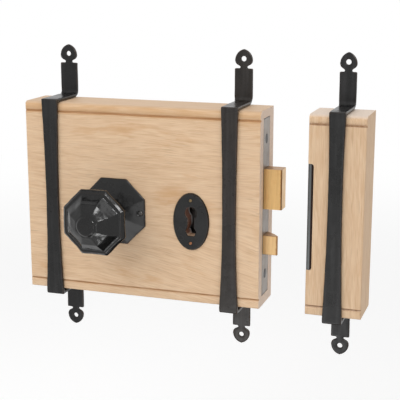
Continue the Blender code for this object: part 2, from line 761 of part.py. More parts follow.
def make_forend(block):
    """The steel strip let in flush, with a window for each bolt and a screw at each end.

    The upper screw stands midway between the case and the strip's end, and the lower one a little above that.
    """
    half = FOREND_WIDTH / 2
    bottom_end = FOREND_CENTRE - FOREND_HEIGHT / 2
    top_end = FOREND_CENTRE + FOREND_HEIGHT / 2
    outline = rectangle(BOLT_CENTRE - half, BOLT_CENTRE + half, bottom_end, top_end)
    low = RIGHT_END - FOREND_THICKNESS
    forend = prism("forend", outline, "X", low, RIGHT_END, "forend_steel", STEEL)
    half = BOLT_THICKNESS / 2 + GAP
    for name, bottom, top in bolt_windows():
        window = rectangle(BOLT_CENTRE - half, BOLT_CENTRE + half, bottom, top)
        slot(forend, "forend_window_" + name, window, "X", low - OVERRUN, RIGHT_END + OVERRUN)
    length = FOREND_SCREW_LENGTH
    head = FOREND_SCREW_HEAD
    shank = FOREND_SCREW_SHANK
    heights = {
        "bottom": (bottom_end + CASE_BOTTOM) / 2 + FOREND_LOW_SCREW_RISE,
        "top": (CASE_TOP + top_end) / 2,
    }
    for end, height in heights.items():
        centre = (BOLT_CENTRE, height)
        name = "forend_screw_" + end
        screw(name, "X", centre, RIGHT_END, length, head, 0.0, shank, -1, "screw_steel", DARK_STEEL)
        screw_seat(forend, name + "_seat", "X", centre, RIGHT_END, length, head, shank, -1)
        screw_seat(block, name + "_pilot", "X", centre, RIGHT_END, length, head, shank, -1)


def make_latch():
    """A sprung latch: a brass head with a sloping nose, riveted to a tail with the follower's stirrup."""
    slide = joint_empty("latch_slide_axis", (LATCH_ROOT, BOLT_CENTRE, LATCH_CENTRE))
    front = BOLT_CENTRE - BOLT_THICKNESS / 2
    back = BOLT_CENTRE + BOLT_THICKNESS / 2
    side = [(LATCH_ROOT, front), (LATCH_TIP, front)]
    side += bulged((LATCH_TIP, front + LATCH_NOSE), (RIGHT_END + LATCH_HEEL, back), LATCH_BULGE, 8)
    side += [(LATCH_ROOT, back)]
    low = LATCH_CENTRE - LATCH_HEIGHT / 2
    head = prism("latch_bolt", side, "Z", low, low + LATCH_HEIGHT, "latch_brass", BRASS)
    tail_back = CAVITY_BACK - GAP
    tail_front = tail_back - LATCH_TAIL_THICKNESS
    lap = LATCH_ROOT + LATCH_TAIL_LAP
    rebate = rectangle(LATCH_ROOT - OVERRUN, lap + GAP, tail_front - GAP, back + OVERRUN)
    slot(head, "latch_rebate", rebate, "Z", low - OVERRUN, low + LATCH_HEIGHT + OVERRUN)

    stirrup_right = KNOB_X - FOLLOWER_WING_WIDTH / 2 - GAP
    stirrup_left = stirrup_right - STIRRUP_THICKNESS
    half = LATCH_TAIL_HEIGHT / 2
    outline = rectangle(stirrup_left, lap, LATCH_CENTRE - half, LATCH_CENTRE + half, 0.0010)
    tail = prism("latch_tail", outline, "Y", tail_front, tail_back, "tail_steel", STEEL)
    wing_front = BOLT_CENTRE - FOLLOWER_WING_THICKNESS / 2
    yoke_top = KNOB_Z - STIRRUP_DROP
    yoke = prism(
        "stirrup",
        rectangle(stirrup_left, stirrup_right, LATCH_CENTRE, yoke_top),
        "Y",
        wing_front,
        tail_back - GAP,
        "guide",
        STEEL,
    )
    join(tail, yoke)

    rivet_centre = (LATCH_ROOT + LATCH_TAIL_LAP / 2, LATCH_CENTRE)
    rivet_radius = LATCH_RIVET_RADIUS
    rivet_depth = tail_front - LATCH_RIVET_DEPTH
    profile = [(tail_back, 0.0), (tail_back, rivet_radius), (rivet_depth, rivet_radius), (rivet_depth, 0.0)]
    rivet = turned("latch_rivet", profile, "Y", rivet_centre, "tail_steel", STEEL, SMALL_ROUND)
    span = (rivet_depth - GAP, back + OVERRUN)
    bore(head, "rivet_hole_head", "Y", rivet_centre, rivet_radius + GAP, *span, SMALL_ROUND)
    bore(tail, "rivet_hole_tail", "Y", rivet_centre, rivet_radius + GAP, *span, SMALL_ROUND)
    soften(head, 0.0003)
    for piece in (head, tail, rivet):
        place_on_axis(piece, slide.location.copy(), slide)


def make_latch_spring():
    """A compression spring with closed ends between the latch's head and the stop in the case."""
    wire = LATCH_SPRING_WIRE / 2
    length = LATCH_SPRING_LENGTH - 2 * GAP - LATCH_SPRING_WIRE
    start = LATCH_ROOT - GAP - wire - length
    per_turn = 12
    total = LATCH_SPRING_TURNS * per_turn
    closed = per_turn
    pitch_end = LATCH_SPRING_WIRE * 1.15
    open_length = length - 2 * pitch_end
    curve = bpy.data.curves.new("latch_spring", "CURVE")
    curve.dimensions = "3D"
    curve.bevel_depth = wire
    curve.bevel_resolution = 1
    curve.use_fill_caps = True
    spline = curve.splines.new("POLY")
    spline.points.add(total)
    radius = LATCH_SPRING_RADIUS - wire
    for index in range(total + 1):
        angle = math.tau * index / per_turn
        if index <= closed:
            along = pitch_end * index / closed
        elif index >= total - closed:
            along = length - pitch_end * (total - index) / closed
        else:
            along = pitch_end + open_length * (index - closed) / (total - 2 * closed)
        x = start + along
        y = BOLT_CENTRE - LATCH_SPRING_OFFSET + radius * math.cos(angle)
        z = LATCH_CENTRE + radius * math.sin(angle)
        spline.points[index].co = (x, y, z, 1.0)
    curve.materials.append(finish_of("spring_steel", STEEL))
    spring = bpy.data.objects.new("latch_spring", curve)
    bpy.context.scene.collection.objects.link(spring)


def make_follower(handle):
    """The hub that the spindle turns: two journals, a square hole and a wing that reaches the stirrup."""
    centre = (KNOB_X, KNOB_Z)
    hub_front = CAVITY_FRONT + GAP
    hub_back = CAVITY_BACK - GAP
    profile = [
        (CASE_FRONT, 0.0),
        (CASE_FRONT, FOLLOWER_JOURNAL),
        (hub_front, FOLLOWER_JOURNAL),
        (hub_front, FOLLOWER_RADIUS),
        (hub_back, FOLLOWER_RADIUS),
        (hub_back, FOLLOWER_JOURNAL),
        (CASE_BACK, FOLLOWER_JOURNAL),
        (CASE_BACK, 0.0),
    ]
    follower = turned("follower", profile, "Y", centre, "tail_steel", STEEL)
    half = FOLLOWER_WING_WIDTH / 2
    wing = rounded(
        [
            (KNOB_X - half, KNOB_Z, 0.0),
            (KNOB_X - half, KNOB_Z - FOLLOWER_WING, 0.0015),
            (KNOB_X + half, KNOB_Z - FOLLOWER_WING, 0.0015),
            (KNOB_X + half, KNOB_Z, 0.0),
        ]
    )
    front = BOLT_CENTRE - FOLLOWER_WING_THICKNESS / 2
    join(follower, prism("follower_wing", wing, "Y", front, front + FOLLOWER_WING_THICKNESS, "guide", STEEL))
    slot(follower, "follower_square", square_hole(), "Y", CASE_FRONT - OVERRUN, CASE_BACK + OVERRUN)
    place_on_axis(follower, handle.location.copy(), handle)


def square_hole():
    half = SPINDLE_SIDE / 2 + GAP
    return rectangle(KNOB_X - half, KNOB_X + half, KNOB_Z - half, KNOB_Z + half)


def make_knob(handle):
    """An eight-sided knob on a round neck, its grub screw and the square spindle that it turns."""
    centre = (KNOB_X, KNOB_Z)
    to_corner = 1 / math.cos(math.pi / 8)
    rim_back = -BLOCK_DEPTH - KNOB_RIM_DISTANCE
    rim_front = rim_back - KNOB_RIM
    neck_back = -BLOCK_DEPTH - GAP - ROSE_EDGE
    shoulder = neck_back - KNOB_NECK_LENGTH
    dome = rim_front - KNOB_RIM_BEVEL - KNOB_DOME
    rim = KNOB_ACROSS_FLATS / 2
    bevelled = rim - KNOB_RIM_BEVEL
    bevel_front = rim_front - KNOB_RIM_BEVEL
    crown = (bevel_front + dome) / 2 - KNOB_DOME_CROWN
    flats = [
        (shoulder + KNOB_SHOULDER_LENGTH, KNOB_NECK_RADIUS),
        (shoulder, KNOB_SHOULDER_RADIUS),
        (rim_back + KNOB_BACK_LIP, rim - KNOB_BACK_INSET),
        (rim_back, rim),
        (rim_front, rim),
        (bevel_front, bevelled),
        (bevel_front + KNOB_FLUTE, bevelled - KNOB_FLUTE),
        (bevel_front, bevelled - 3 * KNOB_FLUTE),
        (crown, (bevelled - 3 * KNOB_FLUTE + KNOB_DOME_RADIUS) / 2 + KNOB_DOME_CROWN),
        (dome, KNOB_DOME_RADIUS),
    ]
    profile = [(flats[0][0], 0.0)] + [(y, inradius * to_corner) for y, inradius in flats] + [(dome, 0.0)]
    knob = turned("knob", profile, "Y", centre, "knob_bronze", BRONZE_BLACK, 8, smooth=False)
    neck_end = shoulder - 2 * KNOB_SHOULDER_LENGTH
    neck = KNOB_NECK_RADIUS
    neck_profile = [(neck_back, 0.0), (neck_back, neck), (neck_end, neck), (neck_end, 0.0)]
    join(knob, turned("knob_neck", neck_profile, "Y", centre, "guide", STEEL))
    boss_front = dome - KNOB_BOSS_RISE
    boss_profile = [
        (dome + KNOB_BOSS_EDGE, 0.0),
        (dome + KNOB_BOSS_EDGE, KNOB_BOSS_RADIUS),
        (boss_front + KNOB_BOSS_EDGE, KNOB_BOSS_RADIUS),
        (boss_front, KNOB_BOSS_RADIUS - KNOB_BOSS_EDGE),
        (boss_front, 0.0),
    ]
    join(knob, turned("knob_boss", boss_profile, "Y", centre, "guide", STEEL))
    socket_end = neck_back - SPINDLE_SOCKET
    slot(knob, "knob_square", square_hole(), "Y", socket_end - GAP, neck_back + OVERRUN)
    soften(knob, 0.0005, angle=12)

    half = SPINDLE_SIDE / 2
    outline = rectangle(KNOB_X - half, KNOB_X + half, KNOB_Z - half, KNOB_Z + half)
    spindle = prism("spindle", outline, "Y", socket_end, -SPINDLE_INSET, "tail_steel", STEEL)
    soften(spindle, 0.0003)

    grub_y = neck_back - GRUB_SCREW_DISTANCE
    grub_radius = GRUB_SCREW_RADIUS
    grub_out = KNOB_Z - KNOB_NECK_RADIUS
    grub_in = KNOB_Z - half - GAP
    grub_profile = [(grub_out, 0.0), (grub_out, grub_radius), (grub_in, grub_radius), (grub_in, 0.0)]
    place = (KNOB_X, grub_y)
    grub = turned("knob_grub_screw", grub_profile, "Z", place, "screw_steel", DARK_STEEL, SMALL_ROUND)
    half_slot = GRUB_SCREW_SLOT / 2
    reach = grub_radius + OVERRUN
    slot_outline = rectangle(KNOB_X - half_slot, KNOB_X + half_slot, grub_y - reach, grub_y + reach)
    slot(grub, "grub_slot", slot_outline, "Z", grub_out - OVERRUN, grub_out + GRUB_SCREW_SLOT)
    bore(knob, "grub_hole", "Z", (KNOB_X, grub_y), grub_radius + GAP, grub_out - OVERRUN, KNOB_Z, SMALL_ROUND)
    for piece in (knob, spindle, grub):
        place_on_axis(piece, handle.location.copy(), handle)


def make_rose(block):
    """An eight-sided plate that rises in flat facets to a collar round the knob's neck, with two screws."""
    centre = (KNOB_X, KNOB_Z)
    to_corner = 1 / math.cos(math.pi / 8)
    back = -BLOCK_DEPTH - GAP
    edge = back - ROSE_EDGE
    collar = edge - ROSE_RISE
    profile = [
        (back, 0.0),
        (back, ROSE_ACROSS_FLATS / 2 * to_corner),
        (edge, ROSE_ACROSS_FLATS / 2 * to_corner),
        (collar, ROSE_COLLAR_RADIUS * to_corner),
        (collar, 0.0),
    ]
    rose = turned("rose_plate", profile, "Y", centre, "rose_bronze", BRONZE_BLACK, 8, smooth=False)
    soften(rose, 0.0004, angle=15)
    bore(rose, "rose_bore", "Y", centre, KNOB_NECK_RADIUS + GAP, collar - OVERRUN, back + OVERRUN)
    slope = ROSE_RISE / (ROSE_ACROSS_FLATS / 2 - ROSE_COLLAR_RADIUS)
    head = ROSE_SCREW_HEAD
    shank = ROSE_SCREW_SHANK
    length = ROSE_SCREW_LENGTH
    for end, side in (("left", -1), ("right", 1)):
        place = (KNOB_X + side * ROSE_SCREW_SPACING / 2, KNOB_Z)
        face = edge - slope * ROSE_SCREW_MARGIN
        name = "rose_screw_" + end
        screw(name, "Y", place, face, length, head, ROSE_SCREW_CROWN, shank, 1, "rose_bronze", BRONZE_BLACK)
        screw_seat(rose, name + "_seat", "Y", place, face, length, head, shank, 1)
        screw_seat(block, name + "_pilot", "Y", place, face, length, head, shank, 1)


def oval(width, height, centre, steps=44):
    points = []
    for index in range(steps):
        angle = math.tau * index / steps
        points.append((centre[0] + width / 2 * math.cos(angle), centre[1] + height / 2 * math.sin(angle)))
    return points


def make_escutcheon(block):
    """An oval plate with a bevelled rim round the keyhole, held by two round-headed pins."""
    centre = (KEY_X, KEY_Z - ESCUTCHEON_DROP)
    back = -BLOCK_DEPTH - GAP
    front = back - ESCUTCHEON_THICKNESS
    outline = oval(ESCUTCHEON_WIDTH, ESCUTCHEON_HEIGHT, centre)
    plate = prism("escutcheon", outline, "Y", front, back, "escutcheon_bronze", BRONZE_BLACK)
    rim = oval(ESCUTCHEON_WIDTH - 2 * ESCUTCHEON_BEVEL, ESCUTCHEON_HEIGHT - 2 * ESCUTCHEON_BEVEL, centre)
    for vertex in plate.data.vertices:
        if vertex.co.y < back - ESCUTCHEON_THICKNESS / 2:
            index = outline_index(vertex.co, outline)
            vertex.co.x, vertex.co.z = rim[index]
    keyhole_in(plate, "escutcheon_keyhole", front, back, 0.0)
    for end, side in (("bottom", -1), ("top", 1)):
        place = (centre[0], centre[1] + side * ESCUTCHEON_PIN_SPACING / 2)
        make_pin("escutcheon_pin_" + end, place, front, plate, block)


def outline_index(point, outline):
    """Which point of an outline in X and Z a vertex stands on."""
    distances = [math.dist((point.x, point.z), place) for place in outline]
    return distances.index(min(distances))


def make_pin(name, place, face, plate, block):
    """A round-headed nail through a plate and into the oak."""
    under_head = face - GAP
    point = face + PIN_LENGTH
    profile = [
        (under_head - PIN_CROWN, 0.0),
        (under_head - PIN_CROWN * 0.8, PIN_HEAD * 0.65),
        (under_head, PIN_HEAD),
        (under_head, PIN_SHANK),
        (point - PIN_POINT, PIN_SHANK),
        (point, 0.0),
    ]
    turned(name, profile, "Y", place, "pin_copper", COPPER, SMALL_ROUND)
    span = (face - OVERRUN, point + GAP)
    for piece, suffix in ((plate, "_plate_hole"), (block, "_pilot")):
        bore(piece, name + suffix, "Y", place, PIN_SHANK + GAP, *span, SMALL_ROUND)


def make_deadbolt():
    """A brass bolt with a thin tail that carries the talon, the slot for the lever post and the stump."""
    slide = joint_empty("deadbolt_slide_axis", (DEADBOLT_ROOT, BOLT_CENTRE, DEADBOLT_CENTRE))
    front = BOLT_CENTRE - BOLT_THICKNESS / 2
    back = BOLT_CENTRE + BOLT_THICKNESS / 2
    section = [
        (DEADBOLT_ROOT, front),
        (DEADBOLT_TIP - DEADBOLT_CHAMFER, front),
        (DEADBOLT_TIP, front + DEADBOLT_CHAMFER),
        (DEADBOLT_TIP, back - DEADBOLT_CHAMFER),
        (DEADBOLT_TIP - DEADBOLT_CHAMFER, back),
        (DEADBOLT_ROOT, back),
    ]
    top = DEADBOLT_BOTTOM + DEADBOLT_HEIGHT
    bolt = prism("deadbolt", section, "Z", DEADBOLT_BOTTOM, top, "bolt_brass", BRASS)

    tail_back = CAVITY_BACK - GAP
    tail_front = tail_back - DEADBOLT_TAIL_THICKNESS
    tail_left = DEADBOLT_ROOT - DEADBOLT_TAIL_LENGTH
    tail_top = TAIL_BOTTOM + DEADBOLT_TAIL_HEIGHT
    talon = KEY_X + DEADBOLT_THROW / 2
    talon_top = KEY_Z + KEY_BIT_RADIUS + TALON_SLACK
    outline = rounded(
        [
            (tail_left, TAIL_BOTTOM, 0.0020),
            (talon - TALON_WIDTH / 2, TAIL_BOTTOM, 0.0010),
            (talon - TALON_WIDTH / 2, talon_top, 0.0008),
            (talon + TALON_WIDTH / 2, talon_top, 0.0008),
            (talon + TALON_WIDTH / 2, TAIL_BOTTOM, 0.0010),
            (DEADBOLT_ROOT + 0.004, TAIL_BOTTOM, 0.0),
            (DEADBOLT_ROOT + 0.004, tail_top, 0.0),
            (tail_left, tail_top, 0.0020),
        ]
    )
    join(bolt, prism("deadbolt_tail", outline, "Y", tail_front, tail_back - GAP, "guide", STEEL))
    radius = LEVER_POST_RADIUS + GAP
    slot_right = LEVER_POST_X + DEADBOLT_THROW + radius
    guide = rectangle(LEVER_POST_X - radius, slot_right, LEVER_POST_Z - radius, LEVER_POST_Z + radius, 0.0012)
    slot(bolt, "post_slot", guide, "Y", tail_front - OVERRUN, tail_back + OVERRUN)

    half = STUMP_SIDE / 2
    lever_front = tail_front - GAP - LEVER_COUNT * LEVER_PITCH
    shoulder = rectangle(STUMP_X - half, STUMP_X + half, STUMP_Z - half, STUMP_Z + half, 0.0004)
    stump = prism("bolt_stump", shoulder, "Y", lever_front, tail_front - GAP, "stump_steel", STEEL)
    foot_profile = [
        (tail_front - 2 * GAP, 0.0),
        (tail_front - 2 * GAP, STUMP_FOOT_RADIUS),
        (tail_back - GAP, STUMP_FOOT_RADIUS),
        (tail_back - GAP, 0.0),
    ]
    join(stump, turned("stump_foot", foot_profile, "Y", (STUMP_X, STUMP_Z), "guide", STEEL, SMALL_ROUND))
    span = (tail_front - OVERRUN, tail_back + OVERRUN)
    bore(bolt, "stump_hole", "Y", (STUMP_X, STUMP_Z), STUMP_FOOT_RADIUS + GAP, *span, SMALL_ROUND)
    for piece in (bolt, stump):
        place_on_axis(piece, slide.location.copy(), slide)


def make_lever_post():
    """The fixed post that the levers swing on and the deadbolt's slot rides on."""
    profile = [
        (CAVITY_FRONT + GAP, 0.0),
        (CAVITY_FRONT + GAP, LEVER_POST_RADIUS),
        (CASE_BACK, LEVER_POST_RADIUS),
        (CASE_BACK, 0.0),
    ]
    turned("lever_post", profile, "Y", (LEVER_POST_X, LEVER_POST_Z), "tail_steel", STEEL, SMALL_ROUND)


def pocket_limits():
    """How far a lever's pockets reach below and above the stump's centre, over the lever's swing."""
    reach = STUMP_X - LEVER_POST_X + STUMP_SIDE / 2
    half = STUMP_SIDE / 2 + GATE_PLAY
    below = half + reach * math.sin(math.radians(LEVER_LIFT))
    above = half + reach * math.sin(math.radians(LEVER_DROP))
    return below, above


def lever_crest():
    """The height of a lever's back, a spine above its pockets."""
    return STUMP_Z + pocket_limits()[1] + LEVER_SPINE


def lever_outline(belly):
    """A boss round the post, an arm over the gate, and a belly that follows the key's bit."""
    post = (LEVER_POST_X, LEVER_POST_Z)
    right = LEVER_POST_X + LEVER_REACH
    boss = arc(post, LEVER_BOSS_RADIUS, 250, 110, 10)
    below = pocket_limits()[0]
    crest = lever_crest()
    underside = arc((KEY_X, KEY_Z), belly, 44, 136, 14)
    shoulder = [(LEVER_POST_X + LEVER_SHOULDER, crest), (right - 0.0020, crest), (right, crest - 0.0020)]
    nose = [(right, STUMP_Z - below - LEVER_SPINE)]
    return boss + shoulder + nose + underside


def make_lever(index):
    """One lever with its two pockets and the gate between them, and the leaf that presses it down."""
    label = index + 1
    pivot = joint_empty(f"lever_{label}_axis", (LEVER_POST_X, BOLT_CENTRE, LEVER_POST_Z))
    back = CAVITY_BACK - 2 * GAP - DEADBOLT_TAIL_THICKNESS - GAP - index * LEVER_PITCH
    front = back - LEVER_THICKNESS
    name = f"lever_{label}"
    lever = prism(name, lever_outline(LEVER_BELLY[index]), "Y", front, back, "lever_brass", BRASS)
    span = (front - OVERRUN, back + OVERRUN)
    post = (LEVER_POST_X, LEVER_POST_Z)
    bore(lever, name + "_hole", "Y", post, LEVER_POST_RADIUS + GAP, *span, SMALL_ROUND)
    below, above = pocket_limits()
    half = STUMP_SIDE / 2 + GATE_PLAY
    side = half + GAP + STUMP_SIDE * math.sin(math.radians(LEVER_DROP))
    for state, centre in (("thrown", STUMP_X), ("drawn", STUMP_X - DEADBOLT_THROW)):
        pocket = rectangle(centre - side, centre + side, STUMP_Z - below, STUMP_Z + above, 0.0006)
        slot(lever, f"{name}_pocket_{state}", pocket, "Y", *span)
    gate = rectangle(STUMP_X - DEADBOLT_THROW, STUMP_X, STUMP_Z - half, STUMP_Z + half)
    slot(lever, name + "_gate", gate, "Y", *span)
    place_on_axis(lever, pivot.location.copy(), pivot)

    leaf = leaf_outline(lever_crest())
    spring = prism(f"lever_spring_{label}", leaf, "Y", front + GAP, back - GAP, "spring_steel", STEEL)
    place_on_axis(spring, pivot.location.copy(), pivot)


def leaf_outline(crest):
    """A thin leaf that rests on the lever's back and curves up to the roof of the case."""
    roof = CASE_TOP - CASE_PLATE - GAP
    start = LEVER_POST_X + LEAF_START
    steps = 10
    lower = []
    for index in range(steps + 1):
        share = index / steps
        height = crest + GAP + (roof - LEAF_THICKNESS - crest - GAP) * share**2
        lower.append((start + LEAF_LENGTH * share, height))
    upper = [(x, z + LEAF_THICKNESS) for x, z in reversed(lower)]
    return lower + upper


def make_keep_plate(block):
    """A steel plate let into the keep's near side, whose lip bends round the corner onto the front."""
    thick = KEEP_PLATE_THICKNESS
    side_low = KEEP_PLATE_CENTRE - KEEP_PLATE_HEIGHT / 2
    side_high = KEEP_PLATE_CENTRE + KEEP_PLATE_HEIGHT / 2
    front = -BLOCK_DEPTH
    side_front = front + KEEP_PLATE_MARGIN
    back = front + KEEP_PLATE_DEPTH
    side = rectangle(side_front, back, side_low, side_high)
    plate = prism("keep_plate", side, "X", KEEP_LEFT, KEEP_LEFT + thick, "keep_steel", DARK_STEEL)

    lip_low = KEEP_PLATE_CENTRE - KEEP_LIP_HEIGHT / 2
    lip_high = KEEP_PLATE_CENTRE + KEEP_LIP_HEIGHT / 2
    tip = KEEP_LEFT + KEEP_LIP_WIDTH
    bend = rounded(
        [
            (KEEP_LEFT, side_front + thick, 0.0),
            (KEEP_LEFT, front, KEEP_LIP_BEND),
            (tip, front, 0.0),
            (tip, front + thick, 0.0),
            (KEEP_LEFT + thick, front + thick, KEEP_LIP_BEND - thick),
            (KEEP_LEFT + thick, side_front + thick, 0.0),
        ]
    )
    lip = prism("keep_lip", bend, "Z", lip_low, lip_high, "guide", STEEL)
    keep_common(lip, prism("keep_lip_ends", lip_outline(0.0), "Y", front - OVERRUN, back, "guide", STEEL))
    join(plate, lip)

    side_recess = rectangle(side_front - GAP, back + GAP, side_low - GAP, side_high + GAP)
    slot(block, "keep_plate_recess", side_recess, "X", KEEP_LEFT - OVERRUN, KEEP_LEFT + thick + GAP)
    bend_recess = rectangle(front - OVERRUN, side_front, lip_low - GAP, lip_high + GAP)
    slot(block, "keep_bend_recess", bend_recess, "X", KEEP_LEFT - OVERRUN, KEEP_LEFT + thick + GAP)
    slot(block, "keep_lip_recess", lip_outline(GAP), "Y", front - OVERRUN, front + thick + GAP)
    return plate


def lip_outline(play):
    """The lip of the keep's plate from the front, in X and Z, with its right-hand corners rounded."""
    low = KEEP_PLATE_CENTRE - KEEP_LIP_HEIGHT / 2 - play
    high = KEEP_PLATE_CENTRE + KEEP_LIP_HEIGHT / 2 + play
    left = KEEP_LEFT - OVERRUN
    tip = KEEP_LEFT + KEEP_LIP_WIDTH + play
    corner = KEEP_LIP_CORNER
    return rounded([(left, low, 0.0), (tip, low, corner), (tip, high, corner), (left, high, 0.0)])


def make_keep():
    """The keep: the same beaded section, a plate that wraps its near edge, and a mortise for each bolt."""
    block = beaded_block("keep_block", KEEP_LEFT, KEEP_LEFT + KEEP_WIDTH, "keep_oak")
    plate = make_keep_plate(block)
    plate_back = KEEP_LEFT + KEEP_PLATE_THICKNESS + OVERRUN
    half = BOLT_THICKNESS / 2 + KEEP_WINDOW_PLAY
    for name, low, high in bolt_windows():
        bottom = low - KEEP_WINDOW_PLAY
        top = high + KEEP_WINDOW_PLAY
        window = rectangle(BOLT_CENTRE - half, BOLT_CENTRE + half, bottom, top)
        slot(plate, "keep_window_" + name, window, "X", KEEP_LEFT - OVERRUN, plate_back)
        slot(block, "keep_mortise_" + name, window, "X", KEEP_LEFT - OVERRUN, KEEP_LEFT + KEEP_POCKET_DEPTH)
    head = KEEP_SCREW_HEAD
    shank = KEEP_SCREW_SHANK
    length = KEEP_SCREW_LENGTH
    reach = KEEP_PLATE_HEIGHT / 2 - KEEP_SCREW_INSET
    for end, sign in (("bottom", -1), ("top", 1)):
        place = (BOLT_CENTRE, KEEP_PLATE_CENTRE + sign * reach)
        name = "keep_screw_" + end
        screw(name, "X", place, KEEP_LEFT, length, head, 0.0, shank, 1, "screw_steel", DARK_STEEL)
        screw_seat(plate, name + "_seat", "X", place, KEEP_LEFT, length, head, shank, 1)
        screw_seat(block, name + "_pilot", "X", place, KEEP_LEFT, length, head, shank, 1)


def make_straps():
    """Two straps hang the lock and one the keep."""
    make_strap(
        "strap_left",
        -RIGHT_END + STRAP_LEFT_INSET,
        STRAP_LEFT_SLACK,
        STRAP_UPPER_TAB,
        STRAP_LEFT_TOP,
        STRAP_LEFT_WAIST_HEIGHT,
    )
    make_strap(
        "strap_right",
        RIGHT_END - STRAP_RIGHT_INSET,
        STRAP_RIGHT_SLACK,
        STRAP_UPPER_TAB,
        STRAP_RIGHT_TOP,
        STRAP_RIGHT_WAIST_HEIGHT,
    )
    make_strap(
        "keep_strap",
        KEEP_CENTRE,
        KEEP_STRAP_SLACK,
        KEEP_STRAP_UPPER_TAB,
        KEEP_STRAP_TOP,
        KEEP_STRAP_WAIST_HEIGHT,
        KEEP_FINIAL_HALF_WIDTH,
    )


def main():
    clear_scene()
    block = make_block()
    make_straps()
    make_rose(block)
    make_escutcheon(block)
    case = make_lock_case(block)
    make_lock_cover(case)
    make_forend(block)
    make_latch()
    make_latch_spring()
    handle = joint_empty("knob_turn_axis", (KNOB_X, BOLT_CENTRE, KNOB_Z))
    make_follower(handle)
    make_knob(handle)
    make_deadbolt()
    make_lever_post()
    for index in range(LEVER_COUNT):
        make_lever(index)
    make_keep()


main()
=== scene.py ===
"""The oak box lock and its keep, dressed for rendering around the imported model.

Everything is in metres in the model's frame: X to the right, Y towards the door, Z up. The script makes the
camera and the studio, then the finishes, then the finer pieces that stand for some of the model's nodes.
"""

import json
import math

import bmesh
import bpy
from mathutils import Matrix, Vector

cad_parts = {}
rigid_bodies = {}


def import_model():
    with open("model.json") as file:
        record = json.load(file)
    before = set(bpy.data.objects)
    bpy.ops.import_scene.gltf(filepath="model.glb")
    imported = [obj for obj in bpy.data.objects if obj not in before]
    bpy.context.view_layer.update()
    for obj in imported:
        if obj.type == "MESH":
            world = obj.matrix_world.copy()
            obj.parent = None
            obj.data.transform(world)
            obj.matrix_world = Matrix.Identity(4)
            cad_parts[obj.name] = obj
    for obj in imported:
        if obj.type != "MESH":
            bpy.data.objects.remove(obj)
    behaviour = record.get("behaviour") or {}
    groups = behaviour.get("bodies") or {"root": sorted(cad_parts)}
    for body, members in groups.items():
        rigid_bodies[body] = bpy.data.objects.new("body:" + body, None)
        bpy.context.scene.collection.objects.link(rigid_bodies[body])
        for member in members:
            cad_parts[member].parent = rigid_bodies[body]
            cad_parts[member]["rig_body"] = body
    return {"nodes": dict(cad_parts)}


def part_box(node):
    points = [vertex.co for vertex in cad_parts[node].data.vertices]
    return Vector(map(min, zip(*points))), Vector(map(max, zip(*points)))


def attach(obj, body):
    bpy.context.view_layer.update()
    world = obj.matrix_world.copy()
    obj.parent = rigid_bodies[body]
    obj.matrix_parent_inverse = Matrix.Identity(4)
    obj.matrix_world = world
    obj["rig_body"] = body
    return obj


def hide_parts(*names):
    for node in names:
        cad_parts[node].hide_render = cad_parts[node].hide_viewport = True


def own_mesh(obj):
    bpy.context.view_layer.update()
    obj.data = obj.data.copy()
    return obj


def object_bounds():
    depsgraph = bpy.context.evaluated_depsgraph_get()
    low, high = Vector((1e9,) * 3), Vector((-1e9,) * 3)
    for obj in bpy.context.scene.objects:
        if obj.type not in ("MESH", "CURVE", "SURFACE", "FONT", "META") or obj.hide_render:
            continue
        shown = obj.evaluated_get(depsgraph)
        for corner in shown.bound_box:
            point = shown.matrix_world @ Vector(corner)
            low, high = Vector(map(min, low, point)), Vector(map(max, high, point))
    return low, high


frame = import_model()
cad_low, cad_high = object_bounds()
cad_case_low, cad_case_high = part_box("oak_case")

# The photograph's view: 400 pixels square, seen from the right and a little above
FRAME_PIXELS = 400
FOCAL_PIXELS = 1037.0
SENSOR_WIDTH = 36.0
CLIP_NEAR = 0.01
CLIP_FAR = 100.0
CAMERA_AZIMUTH = 18.55
CAMERA_ELEVATION = 13.02
CAMERA_DISTANCE = 0.9708
CAMERA_TARGET = Vector((0.0433, 0.0, -0.0030))

# Studio: the floor fades into the white round it
FLOOR_DROP = 0.30
FLOOR_SIZE = 60.0
FLOOR_FADE = (0.7, 2.6)
FLOOR_GLOW = 0.385
FLOOR_GREYS = (0.78, 0.80)
FLOOR_NOISE = 3.0
WORLD_LIGHT = 0.57
WHITE = (1.0, 1.0, 1.0, 1.0)
BLACK = (0.0, 0.0, 0.0, 1.0)
# Most of a noise's values lie in this span
NOISE_SPAN = (0.3, 0.7)

# Softboxes that face the middle of the object: place, size and power
LAMP_AIM = (0.04, -0.02, 0.0)
LAMPS = {
    "key": ((-0.5, -1.5, 1.1), (1.6, 1.2), 11.8),
    "fill": ((1.3, -1.5, 0.2), (0.8, 1.2), 2.5),
    "top": ((0.1, 0.1, 1.5), (1.2, 0.8), 3.6),
}
# Panels that show only in gloss: the node they face, then direction, distance, size and brightness
GLINTS = {
    "glint_bright": ("knob", (0.63, -0.53, 0.57), 1.6, (0.52, 0.36), 20.0),
    "glint_soft": ("knob", (0.48, -0.30, 0.82), 1.6, (0.46, 0.44), 2.2),
    "glint_low": ("knob", (0.33, -0.38, -0.86), 0.38, (0.060, 0.050), 12.0),
    "glint_rose_low": ("rose_plate", (0.05, -0.77, -0.63), 0.50, (0.17, 0.17), 3.2),
    "glint_rose_right": ("rose_plate", (0.29, -0.93, -0.22), 0.90, (0.28, 0.24), 2.0),
}
# Black cards that show only in gloss: place from the knob's front, facing and size
FLAGS = {
    "flag_low": ((0.2125, 0.240, -0.39), (0, 0, 1), (0.625, 0.535)),
    "flag_high": ((-0.40, -0.06, 1.10), (0, 0, -1), (0.60, 0.20)),
}

